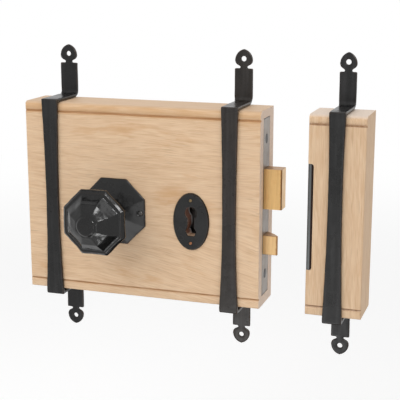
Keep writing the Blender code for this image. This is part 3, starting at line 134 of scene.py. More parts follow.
# The oak's noises, with the grain along the first axis: stretch, scale, detail and roughness
OAK_NOISES = {
    "bend": ((0.55, 0.4, 1), 9.0, 1.0, 0.4),
    "wave": ((0.5, 0.6, 1), 44.0, 2.0, 0.5),
    "slow": ((0.16, 1, 1), 26.0, 3.0, 0.55),
    "fine": ((0.06, 1, 1), 170.0, 2.0, 0.5),
    "streak": ((0.10, 1, 1), 380.0, 3.0, 0.60),
    "fibre": ((0.035, 1, 1), 1300.0, 2.0, 0.6),
    "broad": ((0.30, 1, 1), 20.0, 2.0, 0.5),
    "pore": ((0.05, 1, 1), 1000.0, 1.0, 0.4),
    "stain": ((0.30, 1, 1), 62.0, 3.0, 0.55),
    "ray": ((0.25, 1, 1), 520.0, 1.0, 0.3),
}
# How far the grain bends over the whole case, sinks towards its lower right, and waves from place to place
BEND_HEIGHT = 0.026
SINK_BELOW = (0.02, -0.07)
SINK_ALONG = (-0.05, 0.11)
SINK_DEPTH = 0.034
WAVE_HEIGHT = 0.0035
# The tree's middle as the rings see it, how unevenly they grew, and how wide one is
TREE_TILT = (0, 3.0, 1.6)
TREE_PLACE = (0.0, 0.030, 0.062)
SLOW_SWELL = 0.034
FINE_SWELL = 0.0030
RING_WIDTH = 0.0052
# One ring's grey from the start of its year's growth to the end
RING_GREYS = ((0.0, 0.15), (0.55, 0.60), (0.84, 1.0), (1.0, 0.15))
RING_SHARE = 0.27
# Tones laid over the rings, in order: the noise, where in its span none and all show, the share, the colour
FIGURE_TONES = (
    ("broad", 0.40, 0.68, 0.30, (0.71, 0.475, 0.290)),
    ("streak", 0.49, 0.72, 0.38, (0.63, 0.375, 0.200)),
    ("streak", 0.50, 0.28, 0.34, (0.90, 0.685, 0.470)),
    ("fibre", 0.45, 0.70, 0.40, (0.60, 0.37, 0.20)),
    ("fibre", 0.50, 0.30, 0.30, (0.90, 0.70, 0.50)),
)
# Pores show in this span of their noise, and thin out as the ring gets darker
PORE_SPAN = (0.62, 0.74)
PORE_THINNING = (0.2, 0.7, 1.0, 0.2)
PORE_SHARE = 0.40
PORE_BROWN = (0.42, 0.24, 0.125)
# Tones of the orange stains and the rays, and how many degrees the rays lie across the grain
STAIN_TONE = (0.58, 0.72, 0.55, (0.68, 0.38, 0.17))
RAY_TURN = 8.0
RAY_TONE = (0.60, 0.74, 0.16, (0.88, 0.70, 0.52))
# Heights between which the lock's oak turns to the redder, darker tone of its top moulding, partly its own
# tone and partly painted shade, more on some streaks
BEAD_TINT = (cad_case_high.z - 0.0112, cad_case_high.z - 0.0098)
BEAD_SHARES = (0.35, 0.95)
BEAD_RED_AND_SHADE = (0.70, 0.425, 0.215)
# End grain is greyer and pinker, in rings of two tones, and the top gets a painted greyer sheen for the
# light that falls on it
END_TONES = ((0.95, 0.79, 0.67), (0.81, 0.66, 0.55))
END_RINGS = 0.4
END_FACING = (0.5, 0.95)
END_SHARE = 0.85
TOP_PAINTED_SHEEN = (0.55, 0.98, 0.35, (0.64, 0.54, 0.44))
# Painted shade in the grooves, from ambient occlusion: its reach in a groove, the openness over which it
# grows, its shares from streak to streak, and the share of all of it
GROOVE_SHADE_REACH = 0.007
GROOVE_SHADE_SPAN = (0.97, 0.60)
GROOVE_SHADE_STREAKS = (0.45, 1.0)
GROOVE_SHADE_SHARE = 0.85
# The middle of the keyhole in the oak, a ball round it that holds its walls, and where they start; the walls
# get a painted dark coppery shade
KEYHOLE_HEART = (0.0494, cad_case_low.y + 0.004, -0.0090)
KEYHOLE_REACH = 0.017
KEYHOLE_START = (cad_case_low.y + 0.0002, cad_case_low.y + 0.0006)
KEYHOLE_SHADE_COPPER = (0.26, 0.105, 0.055)
OAK_ROUGHNESS = (0.50, 0.62)
OAK_SPECULAR = 0.30
# Fibres stand up and pores sink in a fine relief
FIBRE_HEIGHT = 0.5
PORE_DEPTH = 0.6
OAK_BUMP = 0.25
OAK_RELIEF = 0.0002
# Each oak finish: the axis of its grain, its light and dark, and the brown of the painted shade in its
# grooves
OAKS = {
    "oak_across": ("X", (0.880, 0.625, 0.405), (0.74, 0.485, 0.285), (0.48, 0.235, 0.085)),
    "oak_upright": ("Z", (0.815, 0.575, 0.368), (0.67, 0.435, 0.250), (0.33, 0.155, 0.060)),
}

# Noises of the black metals: scale, detail and roughness
CLOUDS = (55.0, 3.0, 0.55)
SPECKS = (900.0, 2.0, 0.6)
ROLLED_STREAKS = (240.0, 3.0, 0.6)
EDGE_BROWN_PATCHES = (150.0, 3.0, 0.6)
# The darkest and the lightest cloud, as parts of the metal's tone
CLOUD_GREYS = (0.8, 1.5)
SPECK_TONE = (0.45, 0.8, 0.35, (0.028, 0.026, 0.024))
ROLLED_STRETCH = (1, 1, 0.06)
ROLLED_SPAN = (0.45, 0.70)
ROLLED_GREY = (0.040, 0.039, 0.040)
WARM_SPAN = (0.25, 0.75)
WARM_BROWN = (0.085, 0.055, 0.035)
# Pointiness of a fine mesh between which an edge goes from plain to brown, and how patches vary that. The
# brown is partly rubbed wear and partly a painted reflection of the oak
EDGE_BROWN_POINTINESS = (0.515, 0.585)
EDGE_BROWN_BY_PATCH = (0.38, 0.62, 0.25, 1.0)
EDGE_BROWN_SHARE = 0.75
EDGE_WEAR_AND_REFLECTION_BROWN = (0.115, 0.055, 0.026)
# The hammering's detail and roughness, and how much the clouds change a metal's roughness
HAMMER_NOISE = (2.0, 0.4)
BLACK_CHANGES = (-0.04, 0.05)
METAL_SPECULAR = 0.30
GRIT_RELIEF = 0.00006
BLACK_METALS = {
    "strap_iron": dict(hammer_scale=60.0, tone=0.007, rolled=0.45),
    "strap_iron_warm": dict(hammer_scale=60.0, tone=0.008, warm=0.18, rolled=0.70),
    "knob_bronze": dict(roughness=0.17, hammer=0.0006, tone=0.007, grit=0.0),
    "plate_bronze": dict(),
}

# A bolt's painted brown shade line beside its end face, by how far it lies from the end, clear of the very
# end, and how it wanders
BOLT_LINE = (0.0012, 0.0004)
BOLT_END = (0.00002, 0.0001)
BOLT_WANDER = 0.0012
BOLT_WANDER_NOISE = (420.0, 2.0, 0.5)
BOLT_LINE_SHARE = 0.8
BOLT_ARRIS_SHADE = (0.20, 0.085, 0.030)
# A bolt's end face painted paler, as painted light, and its top painted darker and coppery, as painted shade
BOLT_END_PAINTED_LIGHT = (0.80, 0.98, 0.5, (0.80, 0.56, 0.30))
BOLT_TOP_PAINTED_SHADE = (0.35, 0.75, 0.75, (0.38, 0.20, 0.085))
# The forend's painted dark outline of shade, and the height and reach of the painted shade beside the bolts
FOREND_OUTLINE = (0.0011, 0.0006)
FOREND_RIM_SHARE = 0.65
FOREND_RIM_SHADE = (0.060, 0.045, 0.036)
FOREND_SHADE_HEIGHT = 0.020
FOREND_SHADE_REACH = (0.058, 0.024)
FOREND_SHADE_SHARE = 0.55
FOREND_SHADE = (0.155, 0.125, 0.105)
# Shares of the keep plate's width between which its lip turns almost black, a painted shadow of the gap
# beside the wood
LIP_SPAN = (0.58, 0.74)
LIP_SHADOW_BLACK = (0.020, 0.012, 0.010)

# Strokes of brushed metal along Z or X, or an even grain
ALONG_Z = (1, 1, 0.02)
ALONG_X = (0.02, 1, 1)
SHORT_ALONG_X = (0.05, 1, 1)
EVEN = (1, 1, 1)
# Noises of the brushed metals: scale, detail and roughness
STROKES = (2400.0, 2.0, 0.6)
TARNISH_CLOUDS = (130.0, 3.0, 0.6)
TARNISH_SPAN = (0.5, 0.8)
TARNISH_SHARE = 0.3
# The palest and the deepest stroke, as parts of the metal's colour
PALER = 1.08
DEEPER = 0.86
BRUSHED_CHANGES = (-0.04, 0.08)
BRUSH_BUMP = 0.5
BRUSH_RELIEF = 0.00002
BRUSHED_METALS = {
    "forend_steel": dict(colour=(0.285, 0.250, 0.220), roughness=0.36),
    "bolt_brass": dict(colour=(0.58, 0.365, 0.155), roughness=0.34, tarnish=(0.45, 0.22, 0.08)),
    "latch_brass": dict(colour=(0.57, 0.378, 0.185), roughness=0.34, tarnish=(0.50, 0.26, 0.10)),
    "lever_brass": dict(colour=(0.60, 0.43, 0.19), roughness=0.30, stroke=ALONG_X),
    "keep_steel": dict(colour=(0.12, 0.125, 0.125), roughness=0.35, tarnish=(0.06, 0.04, 0.03)),
    "screw_steel": dict(colour=(0.09, 0.09, 0.09), roughness=0.38, tarnish=(0.05, 0.03, 0.02)),
    "rubbed_steel": dict(colour=(0.19, 0.185, 0.18), roughness=0.40, tarnish=(0.10, 0.06, 0.04)),
    "case_steel": dict(colour=(0.36, 0.345, 0.33), roughness=0.38, stroke=ALONG_X),
    "works_steel": dict(colour=(0.40, 0.385, 0.37), roughness=0.32, stroke=SHORT_ALONG_X),
    "spring_steel": dict(colour=(0.42, 0.41, 0.40), roughness=0.25, stroke=EVEN),
    "pin_copper": dict(colour=(0.30, 0.125, 0.065), roughness=0.34, stroke=EVEN),
    "pin_brass": dict(colour=(0.20, 0.145, 0.075), roughness=0.36, stroke=EVEN),
}

# Each node's finish. Nodes that aren't here have the steel of the works, and keep their own meshes.
PLAIN_FINISH = "works_steel"
NODE_FINISH = {
    "oak_case": "oak_across",
    "keep_block": "oak_upright",
    "strap_left": "strap_iron",
    "strap_right": "strap_iron_warm",
    "keep_strap": "strap_iron",
    "knob": "knob_bronze",
    "rose_plate": "plate_bronze",
    "rose_screw_left": "rubbed_steel",
    "rose_screw_right": "rubbed_steel",
    "escutcheon": "plate_bronze",
    "escutcheon_pin_top": "pin_brass",
    "escutcheon_pin_bottom": "pin_copper",
    "forend": "forend_steel",
    "forend_screw_top": "screw_steel",
    "forend_screw_bottom": "screw_steel",
    "deadbolt": "bolt_brass",
    "latch_bolt": "latch_brass",
    "keep_plate": "keep_steel",
    "keep_screw_top": "screw_steel",
    "keep_screw_bottom": "screw_steel",
    "lock_case": "case_steel",
    "lock_cover": "case_steel",
    "latch_spring": "spring_steel",
    "lever_spring_1": "spring_steel",
    "lever_spring_2": "spring_steel",
    "lever_spring_3": "spring_steel",
    "lever_1": "lever_brass",
    "lever_2": "lever_brass",
    "lever_3": "lever_brass",
}

# Forged pieces: the node, the voxel of the fine mesh, the rounds of smoothing, and the dents. Each dent is a
# size, over which the surface rises and falls, and how far it does.
STRAP_DENTS = ((0.012, 0.00025), (0.004, 0.00008))
FORGED = {
    "strap_left_forged": ("strap_left", 0.00065, 3, STRAP_DENTS),
    "strap_right_forged": ("strap_right", 0.00065, 3, STRAP_DENTS),
    "keep_strap_forged": ("keep_strap", 0.00065, 3, STRAP_DENTS),
    "knob_hammered": ("knob", 0.00050, 9, ((0.016, 0.0014), (0.006, 0.00015))),
    "rose_hammered": ("rose_plate", 0.00055, 4, ((0.010, 0.0004), (0.004, 0.00012))),
    "escutcheon_plate": ("escutcheon", 0.00035, 2, ((0.008, 0.00012),)),
}
SMOOTH_FACTOR = 0.5
# The knob's dents die away between these places, clear of the rose that its neck turns in
ROSE_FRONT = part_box("rose_plate")[0].y
DENTS_FADE = {"knob": (ROSE_FRONT - 0.010, ROSE_FRONT - 0.003)}
# The points that the hammering moves
DENTED = "dented"
# Corners closer than this are one
MERGE_DISTANCE = 0.000002
# Edges sharper than this stay sharp in the smooth-shaded pieces
SMOOTH_ANGLE = 33.0


def link(thing):
    """Put a thing in the scene."""
    bpy.context.scene.collection.objects.link(thing)
    return thing


def turn(thing, direction, axis):
    """Turn a thing so that its own axis points along a direction, with its Y up."""
    thing.rotation_mode = "QUATERNION"
    thing.rotation_quaternion = Vector(direction).to_track_quat(axis, "Y")


def make_camera():
    data = bpy.data.cameras.new("camera")
    data.sensor_width = SENSOR_WIDTH
    data.lens = data.sensor_width * FOCAL_PIXELS / FRAME_PIXELS
    data.clip_start = CLIP_NEAR
    data.clip_end = CLIP_FAR
    camera = link(bpy.data.objects.new("camera", data))
    azimuth = math.radians(CAMERA_AZIMUTH)
    elevation = math.radians(CAMERA_ELEVATION)
    right = math.sin(azimuth) * math.cos(elevation)
    front = -math.cos(azimuth) * math.cos(elevation)
    back = Vector((right, front, math.sin(elevation)))
    camera.location = CAMERA_TARGET + back * CAMERA_DISTANCE
    turn(camera, -back, "-Z")
    bpy.context.scene.camera = camera


class Shader:
    """One material's nodes, added and linked in few words."""

    def __init__(self, tree):
        self.nodes = tree.nodes
        self.links = tree.links
        self.nodes.clear()

    def feed(self, socket, value):
        if isinstance(value, bpy.types.NodeSocket):
            self.links.new(value, socket)
        else:
            socket.default_value = value

    def add(self, kind, settings=None, **inputs):
        node = self.nodes.new("ShaderNode" + kind)
        for name, value in (settings or {}).items():
            setattr(node, name, value)
        for name, value in inputs.items():
            self.feed(node.inputs[name.replace("_", " ")], value)
        return node

    def math(self, operation, *values, clamp=False):
        node = self.nodes.new("ShaderNodeMath")
        node.operation = operation
        node.use_clamp = clamp
        for socket, value in zip(node.inputs, values):
            self.feed(socket, value)
        return node.outputs[0]

    def product(self, *values):
        return self.math("MULTIPLY", *values)

    def vector_math(self, operation, *values):
        node = self.nodes.new("ShaderNodeVectorMath")
        node.operation = operation
        for socket, value in zip(node.inputs, values):
            self.feed(socket, value)
        return node.outputs["Value" if operation in ("LENGTH", "DISTANCE") else "Vector"]

    def split(self, vector):
        """A vector's three numbers, by axis."""
        return self.add("SeparateXYZ", Vector=vector).outputs

    def mapped(self, vector, scale=(1, 1, 1), rotation=(0, 0, 0), location=(0, 0, 0)):
        turned = tuple(math.radians(angle) for angle in rotation)
        node = self.add("Mapping", Vector=vector, Scale=scale, Rotation=turned, Location=location)
        return node.outputs[0]

    def noise(self, vector, scale, detail=2.0, roughness=0.5):
        node = self.add("TexNoise", Vector=vector, Scale=scale, Detail=detail, Roughness=roughness)
        return node.outputs["Fac"]

    def ramp(self, value, *stops, interpolation="LINEAR"):
        """Greys at places from 0 to 1."""
        node = self.add("ValToRGB", Fac=value)
        node.color_ramp.interpolation = interpolation
        elements = node.color_ramp.elements
        while len(elements) < len(stops):
            elements.new(1.0)
        for element, (place, grey) in zip(elements, stops):
            element.position = place
            element.color = (grey, grey, grey, 1.0)
        return node.outputs["Color"]

    def mix(self, share, first, second):
        node = self.add("Mix", {"data_type": "RGBA"})
        self.feed(node.inputs[0], share)
        for socket, value in ((node.inputs[6], first), (node.inputs[7], second)):
            self.feed(socket, (*value, 1.0) if isinstance(value, tuple) else value)
        return node.outputs[2]

    def spread(self, value, low, high, to_low=0.0, to_high=1.0, curve="LINEAR"):
        """A value that runs from one number to another while the given one goes from low to high."""
        node = self.add("MapRange", {"interpolation_type": curve}, Value=value)
        for name, number in (("From Min", low), ("From Max", high), ("To Min", to_low), ("To Max", to_high)):
            self.feed(node.inputs[name], number)
        return node.outputs[0]

    def lay(self, under, value, low, high, share, tone):
        """A tone laid over a colour, from none of it to a share as the value goes from low to high."""
        return self.mix(self.spread(value, low, high, 0.0, share), under, tone)

    def varied(self, cloud, roughness, changes):
        """A roughness that clouds change a little, down and up."""
        return self.spread(cloud, *NOISE_SPAN, *(roughness + change for change in changes))

    def bump(self, height, strength, distance, normal=None):
        node = self.add("Bump", Height=height, Strength=strength, Distance=distance)
        if normal is not None:
            self.feed(node.inputs["Normal"], normal)
        return node.outputs[0]

    def seen(self):
        """1 for the camera, reflections and glass, and 0 for all other light."""
        path = self.add("LightPath").outputs
        seen = self.math("MAXIMUM", path["Is Camera Ray"], path["Is Glossy Ray"])
        return self.math("MAXIMUM", seen, path["Is Transmission Ray"])

    def end(self, kind, surface):
        output = self.add("Output" + kind)
        self.links.new(surface.outputs[0], output.inputs["Surface"])

    def finish(self, settings):
        """A Principled shader from its inputs, and the material's output."""
        surface = self.add("BsdfPrincipled")
        for name, value in settings.items():
            self.feed(surface.inputs[name], value)
        self.end("Material", surface)


def new_material(name):
    material = bpy.data.materials.new(name)
    material.use_nodes = True
    return material, Shader(material.node_tree)


def make_world():
    """White to the camera and in reflections, and a softer light on everything else."""
    world = bpy.data.worlds.new("studio")
    world.use_nodes = True
    bpy.context.scene.world = world
    shader = Shader(world.node_tree)
    strength = shader.spread(shader.seen(), 0.0, 1.0, WORLD_LIGHT, 1.0)
    shader.end("World", shader.add("Background", Color=WHITE, Strength=strength))


def make_card(name, across, along, height, material):
    """A flat rectangle that isn't part of the object."""
    mesh = bpy.data.meshes.new(name)
    corners = [
        (-across, -along, height),
        (across, -along, height),
        (across, along, height),
        (-across, along, height),
    ]
    mesh.from_pydata(corners, [], [(0, 1, 2, 3)])
    card = link(bpy.data.objects.new(name, mesh))
    mesh.materials.append(material)
    return card


def make_floor():
    """A pale floor well below the object, which hangs as it would on a door."""
    material, shader = new_material("floor_white")
    seen = shader.seen()
    place = shader.add("TexCoord").outputs["Object"]
    darkest, lightest = FLOOR_GREYS
    tone = shader.ramp(shader.noise(place, FLOOR_NOISE), (0.0, darkest), (1.0, lightest))
    matt = shader.add("BsdfDiffuse", Color=tone)
    glow = shader.add("Emission", Strength=shader.product(seen, FLOOR_GLOW))
    both = shader.add("AddShader")
    shader.links.new(matt.outputs[0], both.inputs[0])
    shader.links.new(glow.outputs[0], both.inputs[1])
    white = shader.add("Emission", Strength=1.0)
    distance = shader.vector_math("LENGTH", shader.vector_math("MULTIPLY", place, (1.0, 1.0, 0.0)))
    faded = shader.product(shader.spread(distance, *FLOOR_FADE, curve="SMOOTHERSTEP"), seen)
    mixed = shader.add("MixShader", Fac=faded)
    shader.links.new(both.outputs[0], mixed.inputs[1])
    shader.links.new(white.outputs[0], mixed.inputs[2])
    shader.end("Material", mixed)
    make_card("floor", FLOOR_SIZE / 2, FLOOR_SIZE / 2, cad_low.z - FLOOR_DROP, material)


def make_lamp(name, place, aim, size, power):
    """A softbox that faces a point. It lights the object, and doesn't show in its gloss."""
    data = bpy.data.lights.new(name, "AREA")
    data.shape = "RECTANGLE"
    data.size, data.size_y = size
    data.energy = power
    lamp = link(bpy.data.objects.new(name, data))
    lamp.location = place
    turn(lamp, Vector(aim) - Vector(place), "-Z")
    lamp.visible_camera = False
    lamp.visible_glossy = False
    return lamp


def make_glint(name, aim, direction, distance, size, brightness):
    """A panel that shows only in the gloss, in a direction from a point of the object."""
    towards = Vector(direction).normalized()
    power = brightness * math.pi * size[0] * size[1]
    lamp = make_lamp(name, aim + towards * distance, aim, size, power)
    lamp.visible_glossy = True
    lamp.visible_diffuse = False


def make_flag(name, place, facing, size):
    """A black card that shows only in the gloss, as a studio's dark corners do."""
    material, shader = new_material(name)
    shader.end("Material", shader.add("BsdfDiffuse", Color=BLACK))
    card = make_card(name, size[0] / 2, size[1] / 2, 0.0, material)
    card.location = place
    turn(card, facing, "Z")
    card.visible_camera = False
    card.visible_diffuse = False
    card.visible_shadow = False
    card.visible_transmission = False


def front_middle(node_name):
    """The middle of a node's box, on its front."""
    low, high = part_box(node_name)
    return Vector(((low.x + high.x) / 2, low.y, (low.z + high.z) / 2))


def make_lamps():
    for name, (place, size, power) in LAMPS.items():
        make_lamp(name, place, LAMP_AIM, size, power)
    for name, (node_name, *panel) in GLINTS.items():
        make_glint(name, front_middle(node_name), *panel)
    for name, (offset, facing, size) in FLAGS.items():
        make_flag(name, front_middle("knob") + Vector(offset), facing, size)


def oak(name, along, light, dark, groove_shade_brown):
    """Pale sealed oak, its grain along X or Z: growth rings, fibres, pores, rays and greyer end grain."""
    material, shader = new_material(name)
    coordinates = shader.add("TexCoord").outputs
    quarter = (0, 0, 0) if along == "X" else (0, 90, 0)

    def figure(kind, where):
        stretch, scale, detail, roughness = OAK_NOISES[kind]
        return shader.noise(shader.mapped(where, scale=stretch), scale, detail, roughness)

    # From here on the grain runs along the first axis
    straight = shader.mapped(coordinates["Object"], rotation=quarter)
    axes = shader.split(straight)
    bend = shader.product(shader.math("SUBTRACT", figure("bend", straight), 0.5), BEND_HEIGHT)
    if along == "X":
        # Towards the lower right the grain sinks away
        sink = shader.spread(axes["Z"], *SINK_BELOW, curve="SMOOTHSTEP")
        slope = shader.spread(axes["X"], *SINK_ALONG, 0.0, SINK_DEPTH)
        bend = shader.math("MULTIPLY_ADD", sink, slope, bend)
    wave = shader.math("SUBTRACT", figure("wave", straight), 0.5)
    bend = shader.math("MULTIPLY_ADD", wave, WAVE_HEIGHT, bend)
    lift = shader.add("CombineXYZ", Z=bend).outputs[0]
    place = shader.vector_math("ADD", straight, lift)

    tilted = shader.mapped(place, rotation=TREE_TILT, location=TREE_PLACE)
    radius = shader.vector_math("LENGTH", shader.vector_math("MULTIPLY", tilted, (0.0, 1.0, 1.0)))
    radius = shader.math("MULTIPLY_ADD", figure("slow", tilted), SLOW_SWELL, radius)
    radius = shader.math("MULTIPLY_ADD", figure("fine", tilted), FINE_SWELL, radius)
    phase = shader.math("FRACT", shader.math("DIVIDE", radius, RING_WIDTH))
    ring = shader.ramp(phase, *RING_GREYS, interpolation="EASE")
    noises = {kind: figure(kind, place) for kind in ("streak", "fibre", "broad")}
    streak, fibre = noises["streak"], noises["fibre"]
    colour = shader.mix(shader.product(ring, RING_SHARE), light, dark)
    for kind, *tone in FIGURE_TONES:
        colour = shader.lay(colour, noises[kind], *tone)

    # Pores: short dark dashes along the grain, thickest where each year's growth begins
    pore = shader.spread(figure("pore", place), *PORE_SPAN)
    pore = shader.math("MULTIPLY", pore, shader.spread(ring, *PORE_THINNING), clamp=True)
    colour = shader.mix(shader.product(pore, PORE_SHARE), colour, PORE_BROWN)

    # Here and there the heartwood shows as an orange stain
    colour = shader.lay(colour, figure("stain", place), *STAIN_TONE)

    # Rays: faint pale flecks, which lie a little across the grain
    across = shader.mapped(place, rotation=(0, RAY_TURN, 0))
    colour = shader.lay(colour, figure("ray", across), *RAY_TONE)

    # The lock's top moulding is a little redder and darker: partly its own tone, partly painted shade
    if along == "X":
        bead = shader.spread(axes["Z"], *BEAD_TINT)
        bead = shader.product(bead, shader.spread(streak, *NOISE_SPAN, *BEAD_SHARES))
        colour = shader.mix(bead, colour, BEAD_RED_AND_SHADE)

    # End grain is greyer and pinker, and the top gets a painted greyer sheen for the light that falls on it
    normal = shader.split(coordinates["Normal"])
    facing = {axis: shader.math("ABSOLUTE", normal[axis]) for axis in "XZ"}
    rings = shader.mix(shader.product(ring, END_RINGS), *END_TONES)
    colour = shader.lay(colour, facing[along], *END_FACING, END_SHARE, rings)
    colour = shader.lay(colour, facing["Z"], *TOP_PAINTED_SHEEN)

    # The grooves get a painted brown shade, darker where they are more closed in
    occlusion = shader.add("AmbientOcclusion", {"samples": 8, "only_local": True}, Distance=GROOVE_SHADE_REACH)
    groove_shade = shader.spread(occlusion.outputs["AO"], *GROOVE_SHADE_SPAN)
    uneven = shader.spread(streak, *NOISE_SPAN, *GROOVE_SHADE_STREAKS)
    groove_shade = shader.math("MULTIPLY", groove_shade, uneven, clamp=True)
    colour = shader.mix(shader.product(groove_shade, GROOVE_SHADE_SHARE), colour, groove_shade_brown)
    if along == "X":
        # Inside the keyhole the oak gets a painted dark coppery shade
        away = shader.vector_math("DISTANCE", coordinates["Object"], KEYHOLE_HEART)
        keyhole_shade = shader.spread(away, KEYHOLE_REACH, KEYHOLE_REACH * 0.95)
        keyhole_shade = shader.product(keyhole_shade, shader.spread(axes["Y"], *KEYHOLE_START))
        colour = shader.mix(keyhole_shade, colour, KEYHOLE_SHADE_COPPER)

    height = shader.math("MULTIPLY_ADD", fibre, FIBRE_HEIGHT, shader.product(pore, -PORE_DEPTH))
    shader.finish(
        {
            "Base Color": colour,
            "Roughness": shader.spread(fibre, *NOISE_SPAN, *OAK_ROUGHNESS),
            "Normal": shader.bump(height, OAK_BUMP, OAK_RELIEF),
            "Specular IOR Level": OAK_SPECULAR,
        }
    )
    return material


def black_metal(
    name, roughness=0.28, hammer=0.0004, hammer_scale=80.0, tone=0.009, warm=0.0, grit=0.25, rolled=0.0
):
    """Blackened metal, hammered smooth, with brown on its edges: partly rubbed wear, partly a painted
    reflection of the oak.

    Hammer is how high the hammering stands. Tone is the metal's grey, warm and rolled are the shares of a
    browner cast and of faint upright streaks, and grit is how strongly fine specks stand out.
    """
    material, shader = new_material(name)
    place = shader.add("TexCoord").outputs["Object"]
    cloud = shader.noise(place, *CLOUDS)
    speck = shader.noise(place, *SPECKS)
    greys = (tone * part for part in CLOUD_GREYS)
    colour = shader.ramp(cloud, *zip(NOISE_SPAN, greys))
    colour = shader.lay(colour, speck, *SPECK_TONE)
    if rolled:
        streaks = shader.noise(shader.mapped(place, scale=ROLLED_STRETCH), *ROLLED_STREAKS)
        colour = shader.lay(colour, streaks, *ROLLED_SPAN, rolled, ROLLED_GREY)
    if warm:
        colour = shader.mix(shader.spread(cloud, *WARM_SPAN, warm * 0.5, warm), colour, WARM_BROWN)
    # The edges turn brown in patches: partly wear, partly a painted reflection of the oak
    edge = shader.spread(shader.add("NewGeometry").outputs["Pointiness"], *EDGE_BROWN_POINTINESS)
    patch = shader.spread(shader.noise(place, *EDGE_BROWN_PATCHES), *EDGE_BROWN_BY_PATCH)
    edge_wear_and_reflection = shader.math("MULTIPLY", shader.product(edge, patch), EDGE_BROWN_SHARE, clamp=True)
    colour = shader.mix(edge_wear_and_reflection, colour, EDGE_WEAR_AND_REFLECTION_BROWN)
    normal = shader.bump(shader.noise(place, hammer_scale, *HAMMER_NOISE), 1.0, hammer)
    if grit:
        normal = shader.bump(speck, grit, GRIT_RELIEF, normal)
    shader.finish(
        {
            "Base Color": colour,
            "Roughness": shader.varied(cloud, roughness, BLACK_CHANGES),
            "Normal": normal,
            "Metallic": 0.0,
            "Specular IOR Level": METAL_SPECULAR,
        }
    )
    return material


def bolt_painted_light(shader, place, tint, node_name):
    """Painted light and shade on a bolt: a brown shade line up its front beside its end, a paler lit end and
    a darker coppery top.
    """
    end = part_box(node_name)[1].x
    along = shader.split(place)["X"]
    wander = shader.noise(place, *BOLT_WANDER_NOISE)
    wandering = shader.math("MULTIPLY_ADD", wander, BOLT_WANDER, along)
    line = shader.spread(wandering, *(end - back for back in BOLT_LINE))
    short = shader.spread(along, *(end - back for back in BOLT_END))
    tint = shader.mix(shader.product(shader.product(line, short), BOLT_LINE_SHARE), tint, BOLT_ARRIS_SHADE)
    normal = shader.split(shader.add("TexCoord").outputs["Normal"])
    tint = shader.lay(tint, normal["X"], *BOLT_END_PAINTED_LIGHT)
    return shader.lay(tint, normal["Z"], *BOLT_TOP_PAINTED_SHADE)


def forend_painted_shade(shader, place, tint, node_name):
    """Painted shade: a dark outline, and a darker stretch beside the bolts."""
    low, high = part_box(node_name)
    axes = shader.split(place)
    edges = []
    for axis, start, stop in (("Y", low.y, high.y), ("Z", low.z, high.z)):
        off = shader.math("ABSOLUTE", shader.math("SUBTRACT", axes[axis], (start + stop) / 2))
        edges.append(shader.spread(off, *((stop - start) / 2 - inset for inset in FOREND_OUTLINE)))
    beside = shader.math("ABSOLUTE", shader.math("SUBTRACT", axes["Z"], FOREND_SHADE_HEIGHT))
    darker = shader.spread(beside, *FOREND_SHADE_REACH, 0.0, FOREND_SHADE_SHARE, curve="SMOOTHSTEP")
    tint = shader.mix(darker, tint, FOREND_SHADE)
    rim = shader.product(shader.math("MAXIMUM", *edges), FOREND_RIM_SHARE)
    return shader.mix(rim, tint, FOREND_RIM_SHADE)


def lip_painted_shadow(shader, place, tint, node_name):
    """The lip's inner third, beside the wood, is painted almost black, as the gap's shadow."""
    low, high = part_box(node_name)
    width = high.x - low.x
    inner = shader.spread(shader.split(place)["X"], *(low.x + width * share for share in LIP_SPAN))
    return shader.mix(inner, tint, LIP_SHADOW_BLACK)


# The finishes with painted light and shade of their own, and the node whose box each goes by
PAINTED_LIGHT_AND_SHADE = {
    "forend_steel": (forend_painted_shade, "forend"),
    "bolt_brass": (bolt_painted_light, "deadbolt"),
    "latch_brass": (bolt_painted_light, "latch_bolt"),
    "keep_steel": (lip_painted_shadow, "keep_plate"),
}


def brushed_metal(name, colour, roughness, stroke=ALONG_Z, tarnish=(0.25, 0.16, 0.08)):
    """Solid metal with fine strokes, a little tarnish and its own painted light and shade."""
    material, shader = new_material(name)
    place = shader.add("TexCoord").outputs["Object"]
    strokes = shader.noise(shader.mapped(place, scale=stroke), *STROKES)
    cloud = shader.noise(place, *TARNISH_CLOUDS)
    pale = tuple(min(1.0, part * PALER) for part in colour)
    deep = tuple(part * DEEPER for part in colour)
    tint = shader.mix(shader.spread(strokes, *NOISE_SPAN), deep, pale)
    tint = shader.lay(tint, cloud, *TARNISH_SPAN, TARNISH_SHARE, tarnish)
    # The finish's own painted light and shade
    if name in PAINTED_LIGHT_AND_SHADE:
        paint, node_name = PAINTED_LIGHT_AND_SHADE[name]
        tint = paint(shader, place, tint, node_name)
    shader.finish(
        {
            "Base Color": tint,
            "Roughness": shader.varied(cloud, roughness, BRUSHED_CHANGES),
            "Normal": shader.bump(strokes, BRUSH_BUMP, BRUSH_RELIEF),
            "Metallic": 1.0,
        }
    )
    return material


def make_finishes():
    """Every finish, by its name."""
    finishes = {name: oak(name, *tones) for name, tones in OAKS.items()}
    finishes.update({name: black_metal(name, **looks) for name, looks in BLACK_METALS.items()})
    finishes.update({name: brushed_metal(name, **looks) for name, looks in BRUSHED_METALS.items()})
    return finishes


def dress_nodes(finishes):
    for name, node in frame["nodes"].items():
        node.data.materials.clear()
        node.data.materials.append(finishes[NODE_FINISH.get(name, PLAIN_FINISH)])


def mesh_copy(name, node_name):
    """A copy of a node's mesh as a new piece, its corners merged."""
    bm = bmesh.new()
    bm.from_mesh(frame["nodes"][node_name].data)
    bmesh.ops.remove_doubles(bm, verts=bm.verts, dist=MERGE_DISTANCE)
    mesh = bpy.data.meshes.new(name)
    bm.to_mesh(mesh)
    bm.free()
    # The node's own corner normals no longer fit once its corners are merged
    stored_normals = mesh.attributes.get("custom_normal")
    if stored_normals:
        mesh.attributes.remove(stored_normals)
    return link(bpy.data.objects.new(name, mesh))


